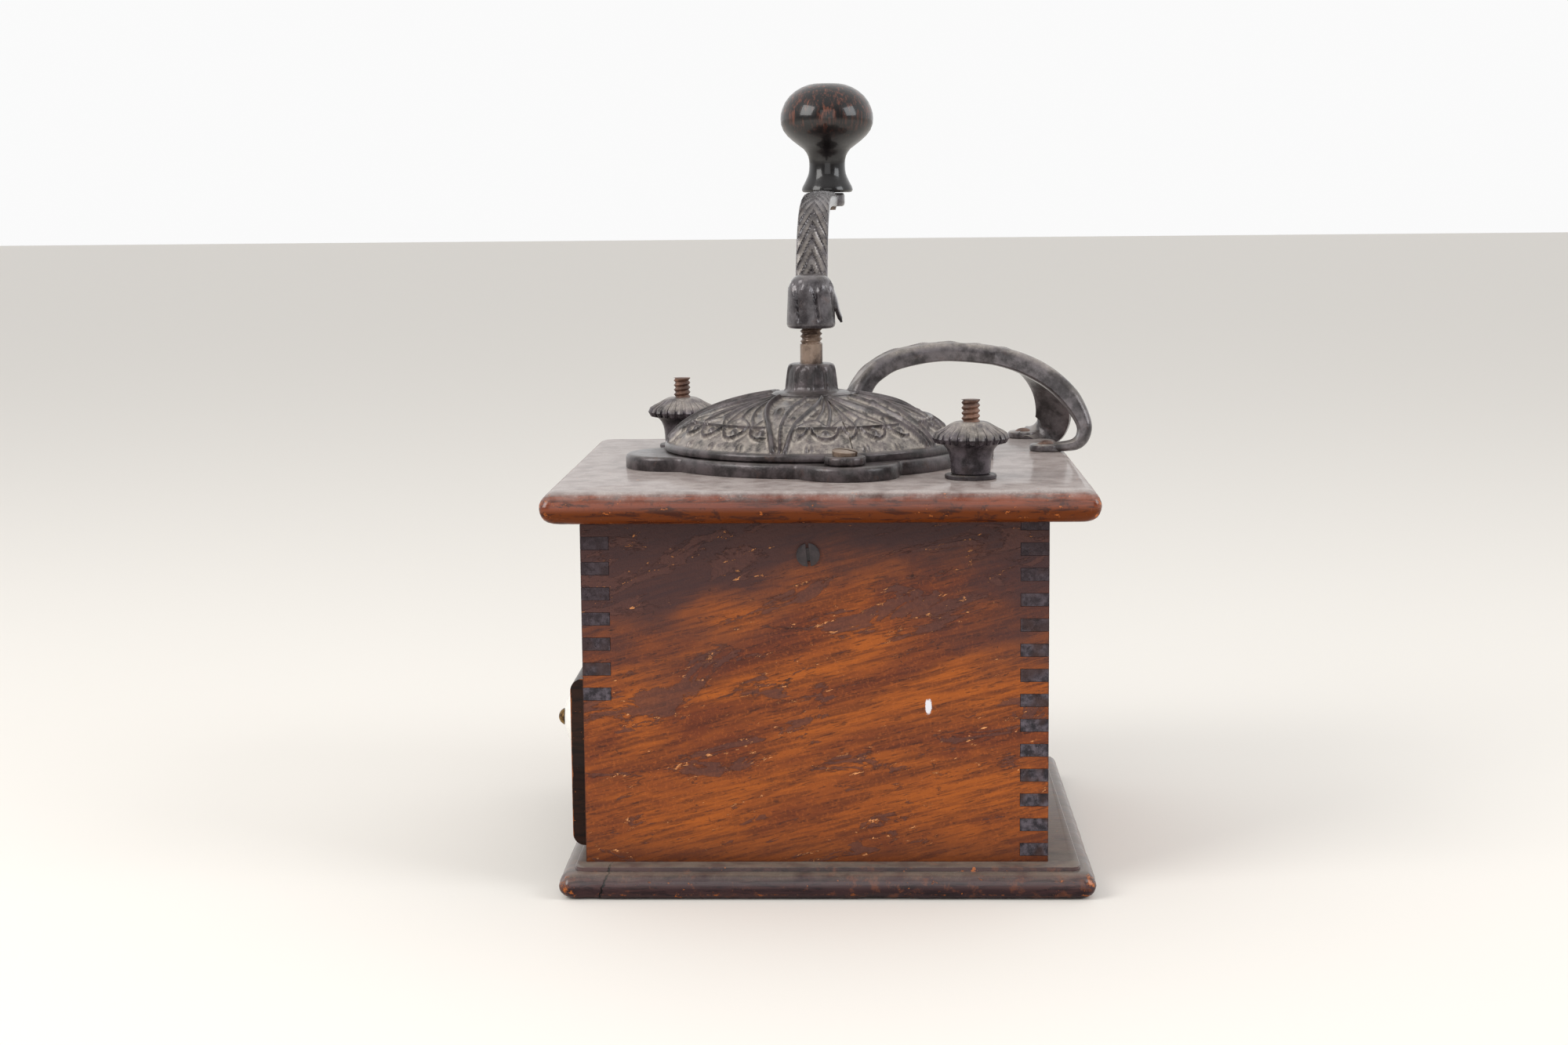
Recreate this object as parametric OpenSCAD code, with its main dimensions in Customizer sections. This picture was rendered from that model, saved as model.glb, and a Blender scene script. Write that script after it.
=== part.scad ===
// Box coffee mill: a finger-jointed wooden case with a drawer, a domed cast-iron
// hopper cover, a conical burr set on a vertical spindle, and a hand crank.
// Millimetres. Z is up, the drawer faces -Y, and the origin is on the spindle axis
// at the underside of the base board.

/* [Case] */
// Outside width of the box, across the drawer
box_w = 152.4; // [140:0.1:185]
// Outside depth of the box, front to back
box_d = 152.4; // [146:0.1:185]
// Height of the box walls
box_h = 114; // [106:0.5:140]
// Thickness of the box walls
wall = 9.2; // [8:0.1:11]
// Distance of the box centre behind the spindle
box_back = 2; // [0:0.5:3]
// Height of the rail above the drawer
rail_h = 59.5; // [52:0.5:62]
// Height of one finger and one gap of the corner joints
finger_pitch = 8.32; // [6:0.01:12]
// Play between a finger and its notch
finger_gap = 0.12; // [0.05:0.01:0.3]

/* [Boards] */
// Width and depth of the top board
top_w = 180; // [172:0.5:215]
// Thickness of the top board
top_t = 10.5; // [9:0.1:13]
// Distance of the top board's centre behind the box centre
top_back = 2; // [0:0.5:3]
// Width and depth of the base board
base_w = 176; // [168:0.5:215]
// Thickness of the base board
base_t = 10; // [8:0.1:13]
// Distance of the base board's centre behind the box centre
base_back = 3.5; // [0:0.5:5]
// Height of the wooden cleats under the top board
cleat_h = 20; // [16:0.5:24]
// Thickness of the cleats
cleat_t = 9; // [6:0.5:9]

/* [Drawer] */
// How far the lipped drawer front stands out of the box
lip_out = 5.2; // [3:0.1:8]
// Overlap of the lip over the edges of the drawer opening
lip_lap = 1.2; // [0.5:0.1:4]
// Play between the drawer and the case
drawer_play = 0.5; // [0.3:0.1:1]
// Thickness of the drawer sides and back
drawer_wall = 6; // [5:0.5:8]
// Thickness of the drawer bottom
drawer_floor = 3; // [3:0.5:5]
// Height of the drawer box
drawer_h = 44; // [30:1:46]
// Diameter of the porcelain pull
pull_d = 25; // [18:0.5:30]
// How far the pull stands out of the drawer front
pull_out = 10.5; // [9:0.5:16]

/* [Hopper cover] */
// Radius of the cast plate between its lobes
plate_r = 54; // [53:0.5:58]
// Thickness of the cast plate
plate_t = 5; // [4:0.1:7]
// Radius of each lobe of the plate
lobe_r = 17.5; // [15:0.5:20]
// Distance of the lobe centres from the spindle
lobe_at = 49; // [48:0.5:54]
// Radius of the rim of the dome
dome_r = 52; // [51:0.5:53]
// Height of the top of the dome above the board
dome_h = 25; // [23:0.5:30]
// Thickness of the dome wall
dome_t = 3; // [2.5:0.1:4]
// Direction of the straight joint between the lid and the fixed half
seam_angle = 17.5; // [10:0.5:25]
// Distance of the lid pivot from the spindle
pivot_at = 57.5; // [57:0.5:60]
// Direction of the lid pivot
pivot_angle = 12; // [10:0.5:14]
// Gap all round the lid
lid_gap = 0.3; // [0.3:0.05:0.6]
// Height of the top of the bearing boss above the board
boss_top = 35; // [33:0.5:40]

/* [Mill] */
// Diameter of the spindle
spindle_d = 7.9; // [6:0.1:9]
// Radial running clearance of the spindle in its bearings
run_gap = 0.06; // [0.03:0.01:0.1]
// Radius of the hole through the top board
mouth_r = 42; // [38:0.5:44]
// Outside radius of the burr housing
housing_r = 26; // [25:0.5:28]
// Height of the burr set
burr_h = 22; // [18:0.5:23]
// Largest radius of the inner burr
burr_r = 18.5; // [16:0.5:18.5]
// Gap between the burrs, measured level
burr_gap = 1.3; // [1.1:0.1:2]
// Number of teeth on each burr
burr_teeth = 12; // [8:1:16]
// Thread pitch of the adjusting screw
adjust_pitch = 1.5; // [1:0.1:2]
// Length of the bridge that carries the spindle
bridge_l = 70; // [68:1:76]

/* [Bolts and finial nuts] */
// Distance of each bolt from the box centre, across the box
bolt_x = 53; // [51:0.5:56]
// Distance of each bolt from the box centre, front to back
bolt_y = 51.7; // [48:0.1:54]
// Diameter of the two frame bolts
bolt_d = 6.3; // [5:0.1:7.5]
// Diameter of the fluted rim of the finial nut
nut_rim_d = 25.2; // [20:0.1:27]
// Height of a finial nut
nut_h = 17.4; // [14:0.1:20]
// Thickness of the washer under a finial nut
washer_t = 1.5; // [1:0.1:2.5]

/* [Crank] */
// Radius of the crank, from spindle to knob
crank_l = 105; // [90:1:130]
// Direction in which the crank rests
crank_angle = 177.5; // [170:0.5:190]
// Height of the bottom of the crank hub above the board
hub_bottom = 47.4; // [44:0.1:56]
// Height of the crank hub
hub_h = 19; // [16:0.5:24]
// Diameter of the crank hub
hub_d = 17.2; // [15:0.1:20]
// Rise of the arm from the top of the hub to the seat of the knob
arm_rise = 28; // [20:0.5:34]
// Height of the knob
knob_h = 42; // [36:0.5:50]
// Largest diameter of the knob
knob_d = 36.2; // [30:0.1:40]
// Diameter of the pin that the knob turns on
knob_pin_d = 5; // [4:0.1:6]

/* [Carry handle] */
// Height of the top of the carry handle above the board
handle_h = 40; // [36:0.5:48]
// Width of the bar of the carry handle
handle_w = 11; // [8:0.5:12]
// Thickness of the bar of the carry handle
handle_t = 6; // [4:0.5:7]

/* [Hidden] */
$fn = 48;
eps = 0.01;

// Heights
z_floor = base_t;
z_wall_top = z_floor + box_h;
z_top = z_wall_top + top_t;
z_rail = z_wall_top - rail_h;
finger_root = 1;

// Plan
y_front = box_back - box_d / 2;
y_back = box_back + box_d / 2;
inner_w = box_w - 2 * wall;
y_top = box_back + top_back;
y_base = box_back + base_back;
bolts = [[bolt_x, box_back + bolt_y], [-bolt_x, box_back - bolt_y]];

// Drawer
drawer_w = inner_w - 2 * drawer_play;
drawer_z = z_floor + 0.3;
inset_top = z_rail - drawer_play;
lip_y = y_front - lip_out;
lip_seat = y_front - 0.3;
lip_z0 = z_floor + 3.5;
lip_z1 = z_rail + 5.5;
front_back_y = y_front + wall;
drawer_end = y_back - wall - 1.5;
pull_z = (lip_z0 + lip_z1) / 2 + 1;
pull_shank_r = 6.5;
pull_screw_r = 1.9;

// Hopper cover
pivot = [pivot_at * cos(pivot_angle), pivot_at * sin(pivot_angle)];
pivot_r = 2.2;
tab_r = 7;
flange_t = 2.8;
rim_w = 4.4;
lobe_angles = [15, 105, 195, 285];
dome_foot = 2;
boss_r = 9.2;
boss_neck_r = 8.3;
collar_r = 14.2;
mouth_plate_r = 46;
crown_screw_angles = [105, 195, 285];
crown_screw_at = 56;
crown_screw_r = 2;
crown_head_r = 3.6;
crown_head_h = 1.6;
crown_head_gap = 0.3;
lid_button_at = [33, 205];
dome_from = 16;
dome_to = 78;
frame_seam = 100;
handle_lean = 10;
lid_z = plate_t + lid_gap;
lid_button_z = dome_foot
    + (dome_h - dome_foot) * sqrt(1 - pow(lid_button_at[0] / (dome_r + 0.8), 2));

// Mill
spindle_r = spindle_d / 2;
bearing_r = spindle_r + run_gap;
bowl_flange_r = 47;
bowl_flange_t = 3;
bowl_wall = 3;
z_bowl = z_top - bowl_flange_t;
z_neck = z_top - 28;
z_burr = z_neck - burr_h;
z_bridge = z_burr - 2;
bridge_t = 9;
bridge_w = 13;
ear_at = housing_r + 4;
ear_r = 6;
ear_h = 12;
ear_screw_r = 1.9;
spindle_end = z_bridge - 3;
pad_t = 2;
adjust_top = spindle_end - pad_t;
lock_nut_t = 4;
thumb_t = 4;
thumb_r = 8;
lift_range = 1.2;
thumb_top = z_bridge - bridge_t - lock_nut_t - 0.4 - lift_range;
burr_top_r = burr_r * 0.5;
outer_burr_r = housing_r - bowl_wall;
arm_bar_t = 5;
arm_bar_w = 14;
bolt_ear_r = 8;
bolt_r = bolt_d / 2;
bolt_hole_r = bolt_r + 0.3;
stud_out = 7.3;
bolt_end = z_top + washer_t + nut_h + stud_out;
z_arm_bar = z_wall_top - arm_bar_t;

// Crank
hub_z = z_top + hub_bottom;
hub_top = hub_z + hub_h;
spindle_top = hub_top - 3;
knob_seat = hub_top + arm_rise;
eye_r = 6.8;
eye_t = 5.2;
arm_t = 5.2;
arm_w_hub = 11.4;
arm_w_knob = 9;
knob_foot = knob_seat + 0.3;
knob_pin_r = knob_pin_d / 2;
knob_bore_r = knob_pin_r + run_gap;

// Side screws and cleats
side_screw_r = 2.2;
side_screw_l = wall + 7;
side_screw_drop = 11.5;
cleat_l = 66;

// Carry handle
foot_t = 2.6;
foot_screw_r = 1.7;
foot_screw_l = 8;
handle_feet = [[-33, 85], [-82, 80]];
handle_root = [-27, 16];
root_z = dome_foot + (dome_h - dome_foot) * sqrt(1 - pow(norm(handle_root) / (dome_r + 0.8), 2));
fork = [-42, 66, handle_h - 5];

// Bar, then two legs, as centre points above the board
bar_path = [[handle_root[0], handle_root[1], root_z + 1.2], [-29, 20, 0.72 * handle_h],
            [-33, 30, 0.86 * handle_h], [-38, 46, handle_h - handle_t / 2], fork];
leg_paths = [
    [fork, [-38, 82, 0.75 * handle_h], [-35, 93, 0.5 * handle_h], [-33, 99, 0.22 * handle_h],
     [-33, 97, foot_t], [handle_feet[0][0], 85, foot_t / 2]],
    [fork, [-56, 76, 0.8 * handle_h], [-68, 84, 0.55 * handle_h], [-76, 87, 0.26 * handle_h],
     [-80, 86, foot_t], [handle_feet[1][0], 80, foot_t / 2]]];

// Points of an elliptical arc in the plane of a profile
function arc(cx, cy, rx, ry, from, to, n = 8) =
    [for (i = [0 : n]) let (a = from + (to - from) * i / n) [cx + rx * cos(a), cy + ry * sin(a)]];

// Point at a distance and direction from the spindle
function polar(r, a) = [r * cos(a), r * sin(a)];

// A tube or a drilled disc standing on z = 0
module ring(r_out, r_in, h) {
    difference() {
        cylinder(r = r_out, h = h);
        translate([0, 0, -1]) cylinder(r = r_in, h = h + 2);
    }
}

// Slotted round screw head standing on z = 0, with its shank below
module slotted_screw(head_r, head_h, shank_r, shank_l, slot = 1) {
    sphere_r = (head_r * head_r + head_h * head_h) / (2 * head_h);
    difference() {
        union() {
            intersection() {
                translate([0, 0, head_h - sphere_r]) sphere(r = sphere_r);
                cylinder(r = head_r, h = head_h);
            }
            translate([0, 0, -shank_l]) cylinder(r = shank_r, h = shank_l + eps);
        }
        translate([-slot / 2, -head_r - 1, head_h * 0.45]) cube([slot, 2 * head_r + 2, head_h]);
    }
}

// ---------------------------------------------------------------- wooden case

// Board with half-round edges on all four sides, standing on z = 0
module bullnose_board(w, t) {
    intersection() {
        rotate([90, 0, 0]) linear_extrude(w, center = true) bullnose_outline(w, t);
        rotate([90, 0, 90]) linear_extrude(w, center = true) bullnose_outline(w, t);
    }
}

module bullnose_outline(w, t) {
    translate([-w / 2 + t / 2, 0]) square([w - t, t]);
    for (side = [-1, 1]) translate([side * (w / 2 - t / 2), t / 2]) circle(d = t);
}

// The wood of a corner that belongs to the front or back board: fingers from z0 up
module finger_zone(y0, z0, z1, play) {
    for (k = [0 : ceil((z1 - z0) / finger_pitch)]) {
        low = z0 + k * finger_pitch + finger_pitch / 4;
        high = min(low + finger_pitch / 2, z1);
        if (high - low > 1)
            for (side = [-1, 1])
                translate([side * (box_w - wall - finger_root) / 2, y0 + wall / 2, (low + high) / 2])
                    cube([wall + finger_root + 2 * play, wall + 2 * play + 2 * eps,
                          high - low + 2 * play], center = true);
    }
}

module back_fingers(play) {
    finger_zone(y_back - wall, z_floor, z_wall_top, play);
}

module rail_fingers(play) {
    finger_zone(y_front, z_rail - finger_pitch / 4, z_wall_top, play);
}

module cross_board(z0, y0) {
    translate([-inner_w / 2 + finger_gap, y0, z0])
        cube([inner_w - 2 * finger_gap, wall, z_wall_top - z0]);
}

module clip_to_box(y0) {
    translate([-box_w / 2, y0, z_floor]) cube([box_w, wall, box_h]);
}

module base_board() {
    color("#4a3030") translate([0, y_base, 0]) bullnose_board(base_w, base_t);
}

module side_panel(side) {
    color("#8a4a24") difference() {
        translate([side * (box_w / 2 - wall / 2) - wall / 2, y_front, z_floor])
            cube([wall, box_d, box_h]);
        back_fingers(finger_gap);
        rail_fingers(finger_gap);
        translate([side * (box_w / 2 + 1), 0, z_wall_top - side_screw_drop])
            rotate([0, -side * 90, 0]) cylinder(r = side_screw_r + 0.1, h = wall + 2);
    }
}

module side_panel_right() { side_panel(1); }
module side_panel_left() { side_panel(-1); }

module back_panel() {
    color("#7c4222") {
        cross_board(z_floor, y_back - wall);
        intersection() {
            clip_to_box(y_back - wall);
            back_fingers(0);
        }
    }
}

module front_rail() {
    color("#7c4222") {
        cross_board(z_rail, y_front);
        intersection() {
            clip_to_box(y_front);
            rail_fingers(0);
        }
    }
}

module top_board() {
    color("#7a4630") difference() {
        translate([0, y_top, z_wall_top]) bullnose_board(top_w, top_t);
        translate([0, 0, z_wall_top - 1]) cylinder(r = mouth_r, h = top_t + 2);
        translate([0, 0, z_bowl - 0.1]) cylinder(r = bowl_flange_r + 0.3, h = bowl_flange_t + 1);
        for (b = bolts) translate([b[0], b[1], z_wall_top - 1])
            cylinder(r = bolt_hole_r, h = top_t + 2);
        for (a = crown_screw_angles) crown_screw_place(a, -top_t - 1)
            cylinder(r = crown_screw_r + 0.15, h = top_t + 2);
        for (s = handle_feet) translate([s[0], s[1], z_top - foot_screw_l - 0.3])
            cylinder(r = foot_screw_r + 0.1, h = foot_screw_l + 1);
    }
}

module cleat(side) {
    color("#5e3a22") difference() {
        translate([side * (inner_w / 2 - cleat_t / 2) - cleat_t / 2, -cleat_l / 2, z_wall_top - cleat_h])
            cube([cleat_t, cleat_l, cleat_h]);
        translate([side * box_w / 2, 0, z_wall_top - side_screw_drop])
            rotate([0, -side * 90, 0]) cylinder(r = side_screw_r + 0.05, h = side_screw_l + 0.5);
        for (a = crown_screw_angles) crown_screw_place(a, -top_t - crown_head_h - crown_head_gap)
            cylinder(r = crown_head_r + crown_head_gap, h = crown_head_h + 2);
    }
}

module cleat_right() { cleat(1); }
module cleat_left() { cleat(-1); }

module side_screws() {
    color("#2b2622") for (side = [-1, 1])
        translate([side * box_w / 2, 0, z_wall_top - side_screw_drop])
            rotate([0, side * 90, 0]) slotted_screw(3.8, 1.4, side_screw_r, side_screw_l);
}

// --------------------------------------------------------------------- drawer

module drawer_front() {
    lip_w = inner_w + 2 * lip_lap;
    edge = 4;
    color("#5a3120") difference() {
        union() {
            translate([-lip_w / 2, lip_seat, 0]) rotate([90, 0, 90]) linear_extrude(lip_w)
                lip_outline(edge);
            translate([-drawer_w / 2, lip_seat - 0.5, drawer_z])
                cube([drawer_w, front_back_y - lip_seat + 0.5, inset_top - drawer_z]);
        }
        for (side = [-1, 1]) drawer_side_block(side, 0.1);
        drawer_bottom_block(0.1);
        translate([0, front_back_y + 1, pull_z]) rotate([90, 0, 0])
            cylinder(r = pull_screw_r + 0.1, h = 40);
    }
}

// Section of the drawer lip: front face rounded at the top and bottom
module lip_outline(edge) {
    depth = lip_seat - lip_y;
    polygon(concat(
        [[0, lip_z0]],
        arc(-depth + edge, lip_z0 + edge, edge, edge, 270, 180),
        arc(-depth + edge, lip_z1 - edge, edge, edge, 180, 90),
        [[0, lip_z1]]));
}

module drawer_side_block(side, play) {
    translate([side * (drawer_w / 2 - drawer_wall / 2), 0, drawer_z + drawer_h / 2])
        translate([0, (front_back_y - 4 + drawer_end) / 2, 0])
            cube([drawer_wall + 2 * play, drawer_end - front_back_y + 4 + 2 * play, drawer_h + 2 * play],
                 center = true);
}

module drawer_bottom_block(play) {
    x = drawer_w / 2 - drawer_wall / 2;
    translate([-x - play, front_back_y - 3 - play, drawer_z + 2 - play])
        cube([2 * x + 2 * play, drawer_end - front_back_y + 3 - drawer_wall / 2 + 2 * play,
              drawer_floor + 2 * play]);
}

module drawer_side(side) {
    color("#b07a48") difference() {
        drawer_side_block(side, 0);
        drawer_bottom_block(0.1);
        drawer_back_block(0.1);
    }
}

module drawer_back_block(play) {
    x = drawer_w / 2 - drawer_wall / 2;
    translate([-x - play, drawer_end - drawer_wall - play, drawer_z + 1])
        cube([2 * x + 2 * play, drawer_wall - 1 + 2 * play, drawer_h]);
}

module drawer_side_right() { drawer_side(1); }
module drawer_side_left() { drawer_side(-1); }

module drawer_back() {
    color("#b07a48") difference() {
        intersection() {
            drawer_back_block(0);
            translate([-drawer_w / 2, -500, drawer_z]) cube([drawer_w, 1000, drawer_h]);
        }
        drawer_bottom_block(0.1);
    }
}

module drawer_bottom() {
    color("#c08d58") drawer_bottom_block(0);
}

// Porcelain pull: shank against the drawer front and a low domed face
module drawer_pull() {
    r = pull_d / 2;
    rim = pull_out - 5.5;
    color("#f2f0ea") translate([0, lip_y, pull_z]) rotate([90, 0, 0]) difference() {
        rotate_extrude() polygon(concat(
            [[0, 0], [pull_shank_r + 1.5, 0]],
            arc(pull_shank_r + 3.2, 2.4, 3, 2.4, 200, 110, 5),
            arc(r - 1.2, rim, 1.2, 1.4, -60, 60, 5),
            arc(0, rim - 3.2, r + 1, pull_out - rim + 3.2, 38, 90, 8)));
        translate([0, 0, -1]) cylinder(r = pull_screw_r + 0.1, h = pull_out + 2);
    }
}

module pull_screw() {
    color("#8f7440") translate([0, lip_y - pull_out, pull_z]) rotate([90, 0, 0])
        slotted_screw(3, 2.1, pull_screw_r, pull_out + front_back_y - lip_y - 1, 0.8);
}

// --------------------------------------------------------------- hopper cover

// Outer or inner surface of the dome as a profile from the rim to inside the collar
function dome_profile(inset) =
    arc(0, dome_foot, dome_r + 0.8 - inset, dome_h - dome_foot - inset, dome_from, dome_to, 12);

// Half of the dome with its flange, swept through half a turn; z = 0 is the board
module half_shell(from, foot) {
    rotate([0, 0, from]) rotate_extrude(angle = 180) polygon(concat(
        [[dome_r - rim_w, foot], [dome_r, foot], [dome_r, lid_z + flange_t - 1]],
        dome_profile(0),
        [for (i = [12 : -1 : 0]) dome_profile(dome_t)[i]]));
}

module lobed_plate(t) {
    cylinder(r = plate_r, h = t);
    for (a = lobe_angles) rotate([0, 0, a]) translate([lobe_at, 0, 0]) cylinder(r = lobe_r, h = t);
}

module crown_screw_place(a, z) {
    p = polar(crown_screw_at, a);
    translate([p[0], p[1], z_top + z]) children();
}

// Boss that carries the spindle, standing in a round collar on the dome
module boss() {
    rotate_extrude() polygon([
        [0, dome_h - 6], [boss_r, dome_h - 6], [boss_r, dome_h + 1],
        [boss_neck_r, boss_top - 1.2], [boss_neck_r - 1.2, boss_top], [0, boss_top]]);
    translate([0, 0, dome_h - dome_t - 1]) cylinder(r = collar_r, h = dome_t + 1.4);
}

// Fixed half: lobed plate, half of the dome, and the boss
module hopper_crown() {
    color("#35302d") difference() {
        translate([0, 0, z_top]) union() {
            difference() {
                lobed_plate(plate_t);
                translate([0, 0, -1]) cylinder(r = mouth_plate_r, h = plate_t + 2);
            }
            difference() {
                half_shell(seam_angle, plate_t - 0.4);
                translate([pivot[0], pivot[1], plate_t]) cylinder(r = tab_r + lid_gap, h = 12);
            }
            boss();
        }
        translate([0, 0, z_top]) cylinder(r = bearing_r, h = boss_top + 1);
        for (a = crown_screw_angles)
            crown_screw_place(a, -1) cylinder(r = crown_screw_r, h = plate_t);
        translate([pivot[0], pivot[1], z_top - 1]) cylinder(r = pivot_r, h = plate_t + 2);
        root_screw_place(-20) cylinder(r = foot_screw_r + 0.05, h = 40);
    }
}

module crown_screws() {
    color("#4a443e") for (a = crown_screw_angles)
        crown_screw_place(a, -top_t) mirror([0, 0, 1])
            slotted_screw(crown_head_r, crown_head_h, crown_screw_r - 0.05, top_t + plate_t - 1.6);
}

// Swinging half of the dome, with the tab that the pivot screw passes through
module hopper_lid() {
    color("#35302d") difference() {
        translate([0, 0, z_top]) union() {
            difference() {
                half_shell(seam_angle + 180, lid_z);
                rotate([0, 0, seam_angle]) translate([-80, -lid_gap, 0]) cube([160, 20, 60]);
                cylinder(r = collar_r + lid_gap, h = 60);
            }
            translate([pivot[0], pivot[1], lid_z]) cylinder(r = tab_r, h = flange_t);
        }
        translate([pivot[0], pivot[1], z_top]) cylinder(r = pivot_r + run_gap, h = 30);
        lid_button_place(-8) cylinder(r = 1.6, h = 16);
    }
}

module lid_button_place(z) {
    p = polar(lid_button_at[0], lid_button_at[1]);
    translate([p[0], p[1], z_top + lid_button_z + z]) children();
}

// Small turned button that lifts the lid round, riveted through the shell
module lid_button() {
    color("#2a2523") {
        lid_button_place(-dome_t - 1) cylinder(r = 1.55, h = dome_t + 4);
        lid_button_place(1.4) cylinder(r1 = 2.6, r2 = 1.7, h = 2);
        lid_button_place(5.2) sphere(r = 2.9);
    }
}

module lid_pivot_screw() {
    color("#6b6058") translate([pivot[0], pivot[1], z_top + lid_z + flange_t + 0.2])
        rotate([0, 0, 60]) slotted_screw(4.3, 1.9, pivot_r - 0.03, flange_t + plate_t - 0.2, 1.1);
}

// ----------------------------------------------------------------------- mill

// Section of the funnel and the burr housing, from the outside round to the inside
module frame_section() {
    polygon([
        [housing_r - bowl_wall, z_burr], [housing_r, z_burr], [housing_r, z_neck],
        [mouth_r - 0.5, z_bowl], [bowl_flange_r, z_bowl], [bowl_flange_r, z_top - 0.1],
        [mouth_r - 0.5 - bowl_wall, z_top - 0.1], [mouth_r - 0.5 - bowl_wall, z_bowl],
        [housing_r - bowl_wall, z_neck]]);
}

// Funnel, burr housing and the two arms that the frame bolts clamp under the board
module mill_frame() {
    color("#2e2a28") difference() {
        union() {
            rotate([0, 0, frame_seam]) rotate_extrude() frame_section();
            for (side = [-1, 1]) {
                translate([side * ear_at, 0, z_burr]) cylinder(r = ear_r, h = ear_h);
                translate([side * (ear_at + housing_r - 1.5) / 2, 0, z_burr + ear_h / 2])
                    cube([ear_at - housing_r + 1.5, 2 * ear_r - 1, ear_h], center = true);
            }
            difference() {
                for (b = bolts) frame_arm(b);
                translate([0, 0, z_neck]) rotate([0, 0, frame_seam]) cylinder(r1 = housing_r - bowl_wall / 2,
                    r2 = mouth_r - 0.5 - bowl_wall / 2, h = z_bowl - z_neck);
            }
        }
        for (b = bolts) translate([b[0], b[1], z_arm_bar - 1])
            cylinder(r = bolt_hole_r, h = arm_bar_t + 2);
        for (side = [-1, 1]) translate([side * ear_at, 0, z_burr - 1])
            cylinder(r = ear_screw_r, h = ear_h - 1);
    }
}

module frame_arm(b) {
    rotate([0, 0, atan2(b[1], b[0])]) translate([0, 0, z_arm_bar]) {
        translate([0, -arm_bar_w / 2, 0]) cube([norm(b) - 1, arm_bar_w, arm_bar_t - 0.1]);
        translate([norm(b), 0, 0]) cylinder(r = bolt_ear_r, h = arm_bar_t - 0.1);
    }
}

// Fixed burr: a ring with a toothed conical bore
module outer_burr() {
    top_r = burr_top_r + burr_gap + 3;
    low_r = burr_r + burr_gap;
    color("#6a6560") difference() {
        translate([0, 0, z_burr]) cylinder(r = outer_burr_r - 0.05, h = burr_h);
        translate([0, 0, z_burr - eps]) cylinder(r1 = low_r, r2 = top_r, h = burr_h + 2 * eps);
        for (i = [0 : burr_teeth - 1]) rotate([0, 0, (i + 0.5) * 360 / burr_teeth])
            translate([top_r - 1.5, -1, z_burr + 5]) cube([3.5, 2, burr_h]);
    }
}

// Turning burr: a toothed cone clamped on the spindle
module inner_burr() {
    color("#77716b") difference() {
        translate([0, 0, z_burr]) cylinder(r1 = burr_r, r2 = burr_top_r, h = burr_h);
        translate([0, 0, z_burr - 1]) cylinder(r = spindle_r + 0.02, h = burr_h + 2);
        for (i = [0 : burr_teeth - 1])
            rotate([0, 0, i * 360 / burr_teeth]) translate([burr_r + 1, 0, z_burr])
            rotate([0, -atan((burr_r - burr_top_r) / burr_h), 20]) translate([-3, -1, 1])
                cube([3, 2, burr_h * 1.3]);
    }
}

module spindle() {
    color("#7d6c60") translate([0, 0, spindle_end])
        cylinder(r = spindle_r, h = spindle_top - spindle_end);
}

// Bar under the housing: the spindle turns in its bore and rests on the adjusting screw
module bridge() {
    color("#2e2a28") difference() {
        union() {
            translate([-bridge_l / 2, -bridge_w / 2, z_bridge - bridge_t + 3])
                cube([bridge_l, bridge_w, bridge_t - 3.1]);
            translate([0, 0, z_bridge - bridge_t]) cylinder(r = 8.5, h = bridge_t - 0.1);
            for (side = [-1, 1]) translate([side * ear_at, 0, z_bridge - 1])
                cylinder(r = ear_r, h = 2.95);
        }
        translate([0, 0, z_bridge - bridge_t - 1]) cylinder(r = bearing_r, h = bridge_t + 2);
        for (side = [-1, 1]) translate([side * ear_at, 0, z_bridge - bridge_t])
            cylinder(r = ear_screw_r + 0.2, h = bridge_t + 4);
    }
}

module bridge_screws() {
    color("#4a443e") for (side = [-1, 1])
        translate([side * ear_at, 0, z_bridge - bridge_t + 3]) mirror([0, 0, 1])
            slotted_screw(3.6, 1.8, ear_screw_r - 0.05, bridge_t - 3 + 8);
}

module lock_nut() {
    color("#5a524a") difference() {
        translate([0, 0, z_bridge - bridge_t - lock_nut_t])
            cylinder(r = 7.2, h = lock_nut_t - 0.1, $fn = 6);
        translate([0, 0, z_bridge - bridge_t - lock_nut_t - 1])
            cylinder(r = bearing_r, h = lock_nut_t + 2);
    }
}

// Screw that sets the height of the spindle, with a notched thumb head
module adjusting_screw() {
    color("#6e645a") {
        translate([0, 0, thumb_top - eps]) cylinder(r = spindle_r, h = adjust_top - thumb_top + eps);
        translate([0, 0, thumb_top - thumb_t]) difference() {
            cylinder(r = thumb_r, h = thumb_t);
            for (i = [0 : 7]) rotate([0, 0, i * 45]) translate([thumb_r + 0.6, 0, -1])
                cylinder(r = 1.6, h = thumb_t + 2);
        }
    }
}

module thrust_pad() {
    color("#9a948c") translate([0, 0, adjust_top]) cylinder(r = spindle_r - 0.1, h = pad_t);
}

// ------------------------------------------------------ bolts and finial nuts

module frame_bolt(b) {
    color("#6e4a38") translate([b[0], b[1], 0]) {
        translate([0, 0, z_arm_bar - 0.1]) cylinder(r = bolt_r, h = bolt_end - z_arm_bar + 0.1);
        translate([-5, -5, z_arm_bar - 4.1]) cube([10, 10, 4]);
    }
}

module frame_bolt_front() { frame_bolt(bolts[1]); }
module frame_bolt_back() { frame_bolt(bolts[0]); }

module bolt_washer(b) {
    color("#4e403a") translate([b[0], b[1], z_top]) ring(8.6, bolt_hole_r, washer_t);
}

module bolt_washer_front() { bolt_washer(bolts[1]); }
module bolt_washer_back() { bolt_washer(bolts[0]); }

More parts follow.
